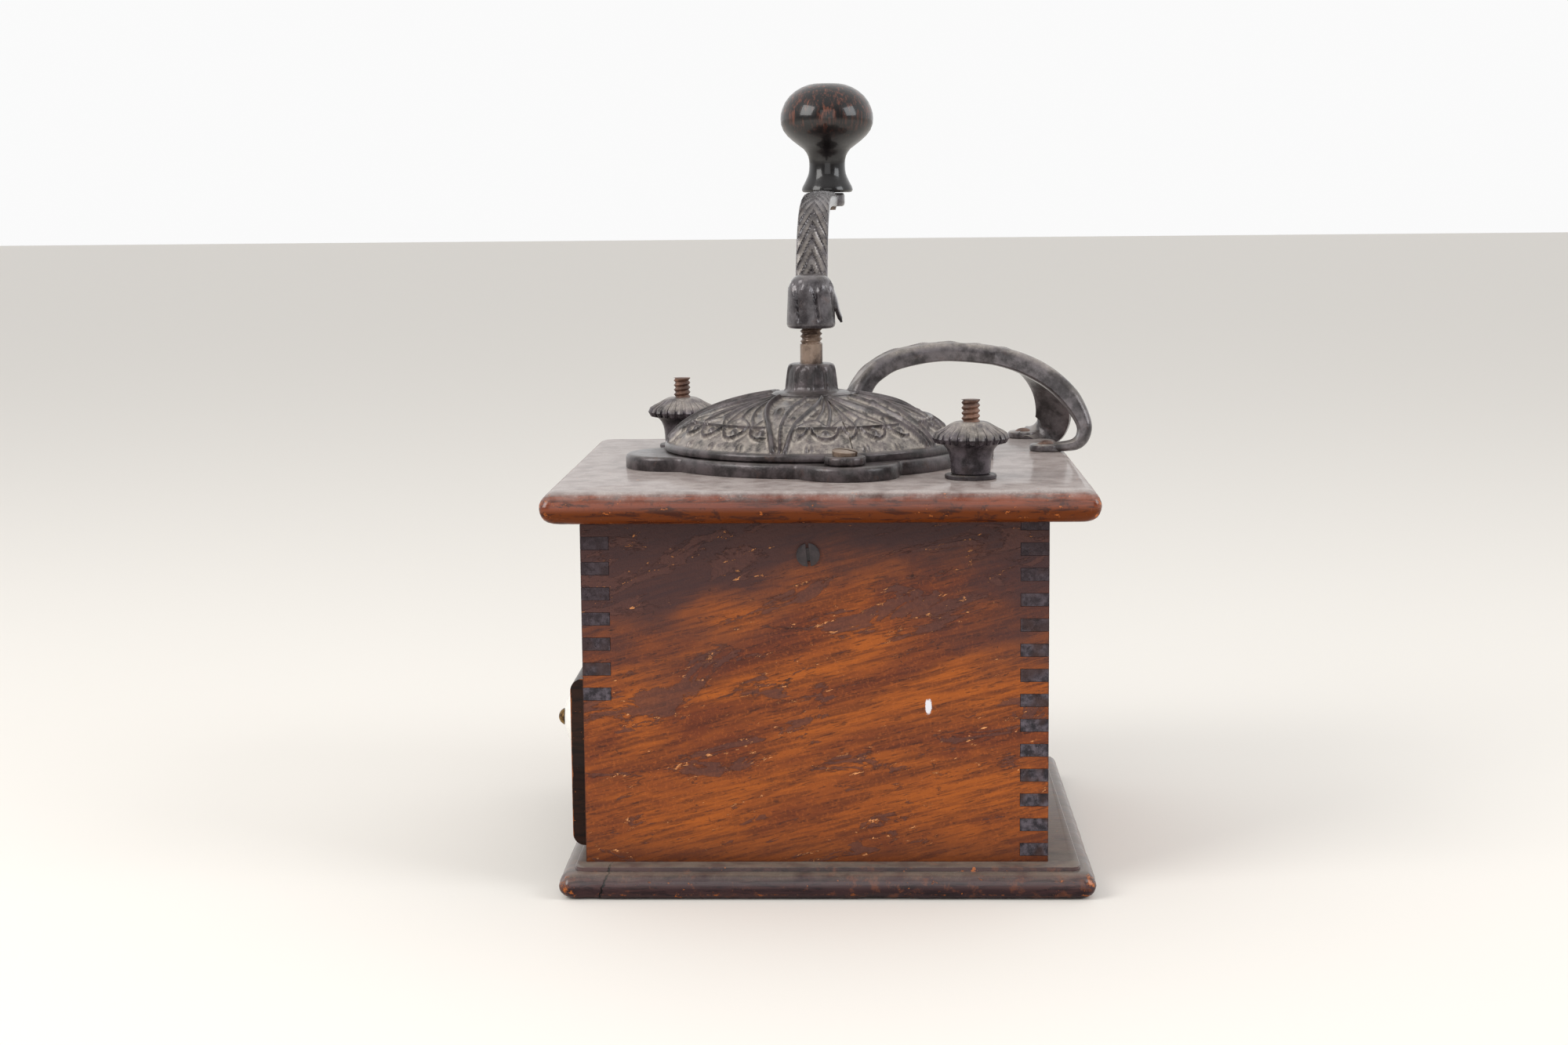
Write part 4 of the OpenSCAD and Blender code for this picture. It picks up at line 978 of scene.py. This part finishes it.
# ---- Frame bolts ------------------------------------------------------------------
# Two long bolts clamp the mill frame under the board. Their threaded ends stand far out
# of the nuts and have rusted.
screw_thread, given = start_tree("screw_thread", [
    ("Radius", "NodeSocketFloat", 0.003), ("Depth", "NodeSocketFloat", 0.0006),
    ("Pitch", "NodeSocketFloat", 0.0015), ("Low", "NodeSocketFloat", 0.0),
    ("High", "NodeSocketFloat", 0.05),
    ("Thread Low", "NodeSocketFloat", 0.0), ("Thread High", "NodeSocketFloat", 0.05),
    ("Rings", "NodeSocketInt", 200), ("Centre", "NodeSocketVector", (0, 0, 0)),
    ("Finish", "NodeSocketMaterial", None)])
t = screw_thread
length = math_node(t, "SUBTRACT", given["High"], given["Low"])
rod = add(t, "GeometryNodeMeshCylinder", Vertices=36, Side_Segments=given["Rings"],
          Radius=given["Radius"], Depth=length).outputs[0]
middle = times(t, math_node(t, "ADD", given["High"], given["Low"]), 0.5)
rod = add(t, "GeometryNodeTransform", Geometry=rod, Translation=add(
    t, "ShaderNodeCombineXYZ", Z=middle).outputs[0]).outputs[0]
at = add(t, "ShaderNodeSeparateXYZ",
         Vector=t.nodes.new("GeometryNodeInputPosition").outputs[0]).outputs
lead = math_node(t, "DIVIDE", math_node(t, "ARCTAN2", at[1], at[0]), 2 * math.pi)
turns_up = math_node(t, "SUBTRACT", math_node(t, "DIVIDE", at[2], given["Pitch"]), lead)
turns_up = math_node(t, "FRACT", turns_up)
groove = math_node(t, "ABSOLUTE", times_plus(t, turns_up, 2.0, -1.0))
cut = times(t, math_node(t, "GREATER_THAN", at[2], given["Thread Low"]),
                math_node(t, "LESS_THAN", at[2], given["Thread High"]))
pull = math_node(t, "DIVIDE", times(t, times(t, groove, cut),
                                        times(t, given["Depth"], -1.0)), given["Radius"])
shift = add(t, "ShaderNodeCombineXYZ", X=times(t, at[0], pull),
            Y=times(t, at[1], pull)).outputs[0]
rod = add(t, "GeometryNodeSetPosition", Geometry=rod, Offset=shift).outputs[0]
rod = add(t, "GeometryNodeTransform", Geometry=rod, Translation=given["Centre"]).outputs[0]
end_tree(t, rod, given["Finish"])


def threaded(name, radius, depth, pitch, low, high, thread_low, thread_high, centre, finish):
    return grown(name, screw_thread, {
        "Radius": radius * MM, "Depth": depth * MM, "Pitch": pitch * MM, "Low": low * MM,
        "High": high * MM, "Thread Low": thread_low * MM, "Thread High": thread_high * MM,
        "Rings": int((high - low) / pitch * 9), "Centre": (centre[0] * MM, centre[1] * MM, 0.0),
        "Finish": finish})


bolt_places = {"back": (53.0, 53.7), "front": (-53.0, -49.7)}
nut_foot = top_z + 1.5
rusty = iron_finish("rusty_steel", dark=colour(66, 44, 36), pale=colour(128, 92, 74), dust=0.15,
                    gloss=0.5, rust=0.7)
nut_iron = iron_finish("nut_iron", dark=colour(30, 26, 30), pale=colour(92, 84, 90), dust=0.8,
                       gloss=0.25, rust=0.15)
washer_iron = iron_finish("washer_iron", dust=0.2, gloss=0.42, rust=0.9)

# Finial nut: a waisted stem under a wide rim, its cone cut with gadroons
nut_profile = [(3.3, 0), (6.0, 0), (6.5, 0.4), (6.6, 1.6), (6.7, 3.2), (6.9, 5.2), (7.3, 6.9),
               (7.9, 8.3),
               (8.8, 9.4), (9.9, 10.2), (11.0, 10.9), (11.7, 11.6), (11.9, 12.4), (11.6, 13.2),
               (10.7, 14.0),
               (9.3, 14.8), (7.9, 15.7), (6.7, 16.6), (5.7, 17.2), (5.0, 17.4), (3.3, 17.4)]
rib_path = [(10.3, 10.6, 0.5), (11.1, 11.1, 1.05), (11.4, 12.0, 1.45), (11.0, 12.9, 1.35),
            (10.2, 13.6, 1.1),
            (8.9, 14.5, 0.85), (7.6, 15.45, 0.62), (6.5, 16.3, 0.45), (5.7, 16.9, 0.25)]

ring_of_ribs, given = start_tree("ring_of_ribs", [
    ("Geometry", "NodeSocketGeometry", None), ("Count", "NodeSocketInt", 25),
    ("Centre", "NodeSocketVector", (0, 0, 0)), ("Finish", "NodeSocketMaterial", None)])
t = ring_of_ribs
spine = add(t, "GeometryNodeMeshToCurve", Mesh=given["Geometry"]).outputs[0]
thickness = t.nodes.new("GeometryNodeInputNamedAttribute")
thickness.data_type = "FLOAT"
thickness.inputs["Name"].default_value = "thickness"
spine = add(t, "GeometryNodeSetCurveRadius", Curve=spine,
            Radius=thickness.outputs["Attribute"]).outputs[0]
section = add(t, "GeometryNodeCurvePrimitiveCircle", Resolution=8, Radius=0.001).outputs[0]
sweep_node = t.nodes.new("GeometryNodeCurveToMesh")
t.links.new(spine, sweep_node.inputs["Curve"])
t.links.new(section, sweep_node.inputs["Profile Curve"])
sweep_node.inputs["Fill Caps"].default_value = True
if "Scale" in sweep_node.inputs:
    t.links.new(thickness.outputs["Attribute"], sweep_node.inputs["Scale"])
rib = sweep_node.outputs[0]
spots = add(t, "GeometryNodePoints", Count=given["Count"], Position=given["Centre"]).outputs[0]
step_turn = math_node(t, "DIVIDE", times(t, t.nodes.new(
    "GeometryNodeInputIndex").outputs[0], 2 * math.pi), given["Count"])
spin = add(t, "FunctionNodeEulerToRotation", Euler=add(
    t, "ShaderNodeCombineXYZ", Z=step_turn).outputs[0]).outputs[0]
ribs = add(t, "GeometryNodeInstanceOnPoints", Points=spots, Instance=rib, Rotation=spin).outputs[0]
end_tree(t, ribs, given["Finish"])


def moved(verts, shift):
    return np.asarray(verts) + np.array(shift)


for place, (x, y) in bolt_places.items():
    head_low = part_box("frame_bolt_" + place)[0][2] / MM
    bolt = threaded("threaded_bolt_" + place, 3.15, 0.75, 1.75, head_low + 3.8, top_z + 26.2,
                    top_z + 18.0, top_z + 26.1, (x, y), rusty)
    head_verts, head_faces, _ = turned_shell(
        [(0.5, 0), (6.8, 0), (7.05, 0.3), (7.05, 3.7), (6.8, 4), (0.5, 4)], 4)
    head_verts = head_verts @ np.array(Matrix.Rotation(math.radians(45), 3, "Z")).T
    head = piece_from("bolt_head_" + place, moved(head_verts, (x, y, head_low)), head_faces, rusty)
    washer_verts, washer_faces, _ = turned_shell(
        [(3.3, 0), (8.3, 0), (8.6, 0.25), (8.6, 1.2), (8.3, 1.5), (3.3, 1.5)], 64)
    washer = piece_from("washer_" + place, moved(washer_verts, (x, y, top_z)), washer_faces,
                        washer_iron)
    nut_verts, nut_faces, _ = turned_shell(nut_profile, 104)
    nut = piece_from("nut_body_" + place, moved(nut_verts, (x, y, nut_foot)), nut_faces, nut_iron)
    line = bpy.data.meshes.new("rib_line_" + place)
    line.from_pydata([(r * MM, 0, z * MM) for r, z, _ in rib_path],
                     [(i, i + 1) for i in range(len(rib_path) - 1)], [])
    layer = line.attributes.new("thickness", "FLOAT", "POINT")
    layer.data.foreach_set("value", [w for _, _, w in rib_path])
    gadroons = grown("gadroons_" + place, ring_of_ribs, {
        "Count": 25, "Centre": (x * MM, y * MM, nut_foot * MM), "Finish": nut_iron}, line)
    for piece, replaced, slot in ((bolt, "frame_bolt_" + place, "rusty_steel"),
                                  (head, "frame_bolt_" + place, "rusty_steel"),
                                  (washer, "bolt_washer_" + place, "black_iron"),
                                  (nut, "finial_nut_" + place, "black_iron"),
                                  (gadroons, "finial_nut_" + place, "black_iron")):
        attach(piece, "case")
        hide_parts(replaced)


# ---- Spindle ----------------------------------------------------------------------
# A steel shaft carries the crank above the cover and the turning burr below it. The
# hub screws onto its thread; the part that shows is worn and rust-brown.
hub_z, hub_top, knob_seat = top_z + 47.4, top_z + 66.4, top_z + 94.4
worn_steel = iron_finish("worn_steel", dark=colour(70, 54, 46), pale=colour(140, 120, 106),
                         dust=0.0,
                         gloss=0.26, rust=0.8)
spindle_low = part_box("spindle")[0][2] / MM
spindle = threaded("threaded_spindle", 3.95, 0.8, 1.75, spindle_low, hub_top - 3, hub_z - 5.6,
                   hub_z + 2,
                   (0, 0), worn_steel)
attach(spindle, "crank")
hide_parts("spindle")


# ---- Crank arm --------------------------------------------------------------------
# The arm rises out of its hub in a gooseneck and runs level to the knob. It is one
# casting, with a row of chevrons along its back.
def curve_through(points, count):
    """Smooth curve through points, stepped evenly along its length."""
    p = np.array(points, float)
    p = np.vstack([2 * p[0] - p[1], p, 2 * p[-1] - p[-2]])
    out = []
    for i in range(1, len(p) - 2):
        for t in np.linspace(0, 1, 24, endpoint=False):
            a, b, c, d = p[i - 1], p[i], p[i + 1], p[i + 2]
            out.append(0.5 * (2 * b + (c - a) * t + (2 * a - 5 * b + 4 * c - d) * t ** 2
                              + (3 * b - a - 3 * c + d) * t ** 3))
    out = np.array(out + [p[-2]])
    run = np.concatenate([[0], np.cumsum(np.linalg.norm(np.diff(out, axis=0), axis=1))])
    even = np.linspace(0, run[-1], count)
    return np.column_stack([np.interp(even, run, out[:, k]) for k in range(out.shape[1])]), even


def swept(path, run, side, width, thick, pattern=None, crown=0.35, across=33):
    """A cast bar along a path: crowned back with a pattern, flat underside, rounded edges."""
    tangent = np.gradient(path, axis=0)
    tangent /= np.linalg.norm(tangent, axis=1)[:, None]
    w = side - tangent * np.sum(side * tangent, axis=1)[:, None]
    w /= np.linalg.norm(w, axis=1)[:, None]
    up = np.cross(tangent, w)
    if up[0][2] < 0:
        w, up = -w, -up
    lean = np.sin(np.linspace(-math.pi / 2, math.pi / 2, across))
    top = 0.5 - crown + crown * np.sqrt(np.clip(1 - np.abs(lean) ** 3.2, 0, 1))
    under = np.array([0.97, 0.86, 0.6, 0, -0.6, -0.86, -0.97])
    low = -0.5 + 0.12 * np.abs(under) ** 6
    u = np.concatenate([lean, under])
    v = np.concatenate([top, low])
    lift = np.zeros((len(path), len(u)))
    if pattern is not None:
        lift[:, :across] = pattern(run[:, None], lean[None, :]) * np.clip((1 - np.abs(lean)) * 9, 0,
            1)
    ends = np.clip(np.minimum(np.arange(len(path)), np.arange(len(path))[::-1]) / 3, 0.3, 1) ** 0.5
    half = (width * ends)[:, None] / 2
    points = (path[:, None, :] + (half * u[None, :])[:, :, None] * w[:, None, :]
              + ((thick * ends)[:, None] * v[None, :] + lift)[:, :, None] * up[:, None, :])
    columns = len(u)
    faces = grid_faces(len(path), columns)
    faces += [tuple(range(columns - 1, -1, -1)),
              tuple(range((len(path) - 1) * columns, len(path) * columns))]
    hollow = np.clip(-lift * 0.9, 0, 0.5)
    return points.reshape(-1, 3), faces, hollow.ravel()


def chevrons(run, lean):
    """Overlapping V-shaped leaves, their points towards the knob, with thin raised edges."""
    step = ((run + 12 * np.abs(lean)) / 5.6) % 1
    edge = np.exp(-((step - 0.9) / 0.055) ** 2) * 0.75
    scale = 0.8 * step ** 2.2 - 0.5
    spine = 0.25 * np.exp(-(lean / 0.09) ** 2)
    return (scale + edge + spine) * np.clip(run / 4, 0, 1)


def petals(count, depth, low, high, lean_by=0.0):
    """Round-topped petals standing side by side round a hub, a groove between each two."""
    def shape(r, z, angle):
        cell = np.abs((angle * count / (2 * math.pi) + lean_by * z) % 1 - 0.5) * 2
        climb = np.clip((z - low) / (high - low), 0, 1.2)
        reach = np.sqrt(np.clip(1 - (np.clip(climb - 0.55, 0, 1) / 0.45) ** 2, 0, 1))
        groove = np.clip((cell - reach * 0.8) / 0.2, 0, 1) * np.clip((z - low) / 3, 0, 1)
        return -depth * groove * groove * (3 - 2 * groove) * np.clip((high + 1.2 - z) / 1.5, 0, 1)
    return shape


crank_iron = iron_finish("crank_iron", dark=colour(40, 34, 38), pale=colour(94, 89, 92), dust=0.2,
                         hollow=True, gloss=0.25, rust=0.3, coat=0.5)
crank_turn, crank_r = Matrix.Rotation(math.radians(177.5), 3, "Z"), 105
crank_x = np.concatenate([np.linspace(2.5, 9, 12), np.linspace(10.5, 30, 12),
                          np.linspace(34, 99, 12)])
arm_rise, arm_curl, arm_root = 28.4, 9, hub_top - 3
arm_line = [(x, 0, arm_root + arm_rise * (1 - math.exp(-max(x - 5, -0.8) / arm_curl))
             - (2 if x < 3 else 0)) for x in crank_x]
arm_path, arm_run = curve_through(arm_line, 330)
arm_shell = swept(arm_path, arm_run, np.tile([0.0, 1.0, 0.0], (330, 1)),
                  np.interp(arm_path[:, 0], [2, 100], [11.4, 9.0]), np.full(330, 5.2), chevrons)
hub_profile = [(0.4, 0), (7.7, 0), (8.3, 0.5), (8.6, 1.4)] + [
    (8.6 - 0.035 * z, z) for z in np.linspace(2.2, 13, 22)] + [
    (8.1, 14.2), (7.7, 15.3), (7.1, 16.4), (6.2, 17.5), (5.0, 18.3), (3.4, 18.8), (1.6, 19.0),
    (0.2, 19.0)]
hub_shell = turned_shell(hub_profile, 144, petals(7, 0.95, 1.4, 15.5, 0.018))
hub_shell = (moved(hub_shell[0], (0, 0, hub_z)), hub_shell[1], hub_shell[2])
eye_shell = turned_shell([(0.3, 0), (6.0, 0), (6.6, 0.5), (6.8, 1.4), (6.8, 4.2), (6.5, 4.9),
                          (6.0, 5.2), (0.3, 5.2)], 56)
eye_shell = (moved(eye_shell[0], (crank_r, 0, knob_seat - 5.2)), eye_shell[1], eye_shell[2])
leaf_path, leaf_run = curve_through([(1.5, -5.6, hub_z + 16.5), (2.2, -8.0, hub_z + 11),
                                     (2.5, -9.2, hub_z + 6),
                                     (2.6, -10.6, hub_z + 1.8)], 30)
leaf_shell = swept(leaf_path, leaf_run, np.tile([1.0, 0.0, 0.0], (30, 1)),
                   np.interp(leaf_run, [0, 10, 16], [5, 7.5, 3.0]), np.full(30, 1.7))
crank_verts, crank_faces, crank_hollow = join_shells([arm_shell, hub_shell, eye_shell, leaf_shell])
crank_verts = crank_verts @ np.array(crank_turn).T
crank_casting = with_hollows(piece_from("crank_casting", crank_verts, crank_faces, crank_iron),
                             crank_hollow)
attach(crank_casting, "crank")
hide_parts("crank_arm")


# ---- Knob -------------------------------------------------------------------------
# Turned from close-grained wood and lacquered black. It spins on a pin riveted in the
# eye of the arm; brown wood shows through the lacquer at the top of the ball.
knob_finish, tree, shader = finish_of("black_lacquer", Roughness=0.3, Specular_IOR_Level=0.3,
                                      Coat_Weight=0.5, Coat_Roughness=0.06)
where = place_mm(tree)
upright = place_mm(tree, turn=(0, math.radians(90), 0))
figure = use_group(tree, wood_figure, Vector=upright)
height_mm = axes(tree, where)[2]
thin = rise(tree, height_mm, knob_seat + 18, knob_seat + 36)
thin = times(tree, thin, rise(tree, figure["Streak"], 0.35, 0.7))
rubbed = rise(tree, cloud(tree, scaled(tree, where, (1, 1, 0.25)), 1.6, 4, 0.7), 0.46, 0.62)
tone = mix(tree, times(tree, thin, rubbed), colour(14, 10, 11), colour(120, 68, 50))
feed(tree, shader, Base_Color=tone, Normal=bumped(tree, cloud(tree, where, 5, 2, 0.5), 0.1))
knob_profile = [(8.6, 0), (9.5, 0.2), (10, 1), (9.85, 1.7), (9.6, 2.4), (9.0, 3.5), (8.4, 4.7),
                (7.8, 6), (7.35, 7.2), (7.1, 8.6), (7.0, 10), (7.0, 11.4), (7.1, 12.8),
                (7.45, 14.2),
                (8.1, 15.5), (9.2, 16.9), (11.1, 18.3), (13.3, 20), (15.4, 21.9), (17, 24),
                (17.9, 26.3), (18.1, 28.5), (17.95, 30.4),
                (17.4, 32.4), (16.3, 34.9), (14.6, 37.2), (12.3, 39.2), (9.9, 40.6), (7.2, 41.6),
                (5.0, 42.0),
                (4.4, 41.9), (4.2, 41.3), (4.15, 40.8)]
knob_verts, knob_faces, _ = turned_shell(knob_profile, 96)
knob_at = np.array(crank_turn @ Vector((crank_r, 0, 0)))
knob = piece_from("turned_knob", moved(knob_verts, knob_at + [0, 0, knob_seat + 0.2]), knob_faces,
                  knob_finish)
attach(knob, "knob")
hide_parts("crank_knob")
dress(worn_steel, "knob_pin")


# ---- Carry handle -----------------------------------------------------------------
# A crowned bar springs from the cover and forks into two legs, whose flat feet are
# screwed to the back of the board. Slanted leaves are cast along its back.
def slant_leaves(run, lean):
    """Leaves with a midrib, slanting across the back of the bar."""
    step = ((run + 6.5 * lean) / 10.2) % 1
    leaf = np.exp(-((step - 0.5 - 0.18 * np.sin(lean * 3)) / 0.2) ** 2)
    vein = np.exp(-((step - 0.5) / 0.05) ** 2) * 0.3
    return (0.6 * leaf - 0.62 + vein) * np.clip(run / 5, 0, 1) * np.clip((0.6 - np.abs(lean)) * 5,
        0, 1)


handle_iron = iron_finish("handle_iron", dark=colour(48, 43, 44), pale=colour(110, 103, 105),
                          dust=0.7,
                          hollow=True, gloss=0.28, rust=0.3, coat=0.3)
root = (-27.0, 16.0)
root_z = float(dome_height(math.hypot(*root))) - top_z
bar_line = [(root[0] + 0.6, root[1] - 1.5, root_z - 3), (-28.2, 18.2, 25.6), (-30.2, 23, 30.4),
            (-33, 31, 34.2),
            (-38, 47, 36.4), (-42, 66, 34.6), (-43.5, 73, 32.8)]
near_line = [(-40.5, 58, 35.8), (-41.6, 66, 34.6), (-40.4, 76, 31.8), (-38.2, 86, 26.6),
             (-35.6, 93.8, 19.4),
             (-33.6, 98.6, 11), (-33, 98.8, 5.8), (-33, 96.2, 2.5), (-33, 91, 1.5), (-33, 82, 1.4)]
far_line = [(-40.5, 58, 36.0), (-43, 66, 34.6), (-51, 75, 32.0), (-61, 83.5, 26.6), (-69, 89, 19.2),
            (-75, 91.2, 11),
            (-78.6, 90.2, 5), (-80.4, 86.6, 2.2), (-81.8, 80.5, 1.4), (-82.3, 77.5, 1.4)]


def turning_side(run, start, end):
    """The bar's sideways direction, turning from one heading to another (degrees)."""
    angle = np.radians(np.interp(run, [0, run[-1] * 0.12, run[-1] * 0.7], [start, start, end]))
    return np.column_stack([np.cos(angle), np.sin(angle), np.zeros(len(run))])


foot_profile = [(0.3, 0), (5.4, 0), (5.9, 0.4), (6, 1.3), (5.8, 2.2), (5.2, 2.6), (0.3, 2.6)]
handle_shells = []
for line, count, last_side, widths, depths, leaves in (
        (bar_line, 190, 14, ([0, 8, 60], [12.5, 11, 10.5]), ([0, 10, 70], [8.5, 7.4, 7.0]),
         slant_leaves),
        (near_line, 150, 2, ([0, 55, 75, 85], [9.8, 9, 10.5, 12]),
         ([0, 25, 42, 58, 70], [6.8, 7.6, 7.2, 4.4, 2.6]), None),
        (far_line, 150, 62, ([0, 30, 60, 80], [9.8, 13.5, 14, 12]),
         ([0, 45, 70, 80], [5.5, 4.6, 3.2, 2.6]), None)):
    path, run = curve_through(line, count)
    handle_shells.append(swept(path, run, turning_side(run, 14, last_side), np.interp(run, *widths),
                               np.interp(run, *depths), leaves, crown=0.5))
for foot in ((-33, 85), (-82, 80)):
    foot_verts, foot_faces, foot_hollow = turned_shell(foot_profile, 40)
    handle_shells.append((moved(foot_verts, (foot[0], foot[1], 0)), foot_faces, foot_hollow))
handle_verts, handle_faces, handle_hollow = join_shells(handle_shells)
handle_casting = with_hollows(piece_from("handle_casting", moved(handle_verts, (0, 0, top_z)),
                                         handle_faces,
                                         handle_iron), handle_hollow)
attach(handle_casting, "case")
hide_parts("carry_handle")
dress(rusty, "handle_screws", "crown_screws", "bridge_screws")


# ---- Mill and its fittings --------------------------------------------------------
# The frame under the board, the two burrs in it and the bridge that carries the
# spindle are grey castings. They are rough where cast and bright where ground.
grey_iron = iron_finish("grey_iron", dark=colour(88, 84, 82), pale=colour(138, 132, 128), dust=0.15,
                        gloss=0.5, rust=0.5)
burr_iron = iron_finish("burr_iron", dark=colour(104, 99, 95), pale=colour(166, 160, 153),
                        dust=0.05,
                        gloss=0.33, rust=0.35)
dress(grey_iron, "mill_frame", "bridge")
dress(burr_iron, "outer_burr", "inner_burr")
dress(worn_steel, "lock_nut", "adjusting_screw", "thrust_pad")


# ---- Drawer -----------------------------------------------------------------------
# Thin boards nailed round a thin bottom hang behind a thick lipped front. The front is
# stained as the case is, the rest is bare and stained by coffee.
drawer_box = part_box("drawer_front")
# body[3] is the colour painted on the lower half as painted shade; 0.4 is its painted_shade_share.
front_finish = board_finish("drawer_front_varnish", drawer_box,
                            (colour(36, 20, 14), colour(50, 28, 19), colour(22, 13, 11),
                             colour(40, 23, 16),
                             colour(34, 22, 20)), 0.4, colour(104, 66, 44), 0.02,
                             colour(150, 132, 118),
                            edge_width=0.7, dull_below=0.03)
dress(front_finish, "drawer_front")


def bare_wood(name, turn):
    """Unfinished wood, stained by ground coffee."""
    pale, dark = colour(176, 134, 88), colour(120, 82, 50)
    finish, tree, shader = finish_of(name, Roughness=0.7)
    where = place_mm(tree, turn=turn)
    figure = use_group(tree, wood_figure, Vector=where)
    tone = mix(tree, figure["Broad"], pale, dark)
    tone = mix(tree, times(tree, figure["Streak"], 0.5), tone, dark)
    stain = rise(tree, cloud(tree, where, 22, 4, 0.6), 0.52, 0.7, 0.55)
    tone = mix(tree, stain, tone, colour(70, 44, 28))
    feed(tree, shader, Base_Color=tone, Normal=bumped(tree, figure["Pore"], 0.15))
    return finish


dress(bare_wood("raw_wood_along", (0, 0, math.radians(-90))),
      "drawer_side_right", "drawer_side_left", "cleat_right", "cleat_left")
dress(bare_wood("raw_wood_across", (0, 0, 0)), "drawer_back", "drawer_bottom")


# ---- Drawer pull ------------------------------------------------------------------
# A white porcelain knob, held on the drawer by one long screw whose brass head has
# tarnished brown.
porcelain, tree, shader = finish_of("white_porcelain", Roughness=0.12, Coat_Weight=0.6,
                                    Coat_Roughness=0.05)
where = place_mm(tree)
craze = add(tree, "ShaderNodeTexVoronoi", {"feature": "DISTANCE_TO_EDGE"}, Vector=where, Scale=0.28)
lines = times(tree, rise(tree, craze.outputs["Distance"], 0.03, 0.0), 0.35)
grime = rise(tree, cloud(tree, where, 5, 4, 0.6), 0.55, 0.75, 0.35)
tone = mix(tree, math_node(tree, "MAXIMUM", lines, grime), colour(238, 236, 230),
           colour(186, 170, 148))
feed(tree, shader, Base_Color=tone, Normal=bumped(tree, cloud(tree, where, 9, 2, 0.5), 0.12))
dress(porcelain, "drawer_pull")
brass, tree, shader = finish_of("tarnished_brass", Roughness=0.4, Metallic=0.85)
where = place_mm(tree)
dulled = rise(tree, cloud(tree, where, 1.8, 4, 0.65), 0.4, 0.62)
tone = mix(tree, dulled, colour(148, 116, 62), colour(74, 54, 36))
feed(tree, shader, Base_Color=tone,
     Roughness=times_plus(tree, cloud(tree, where, 1.2, 3, 0.6), 0.4, 0.2))
dress(brass, "pull_screw")
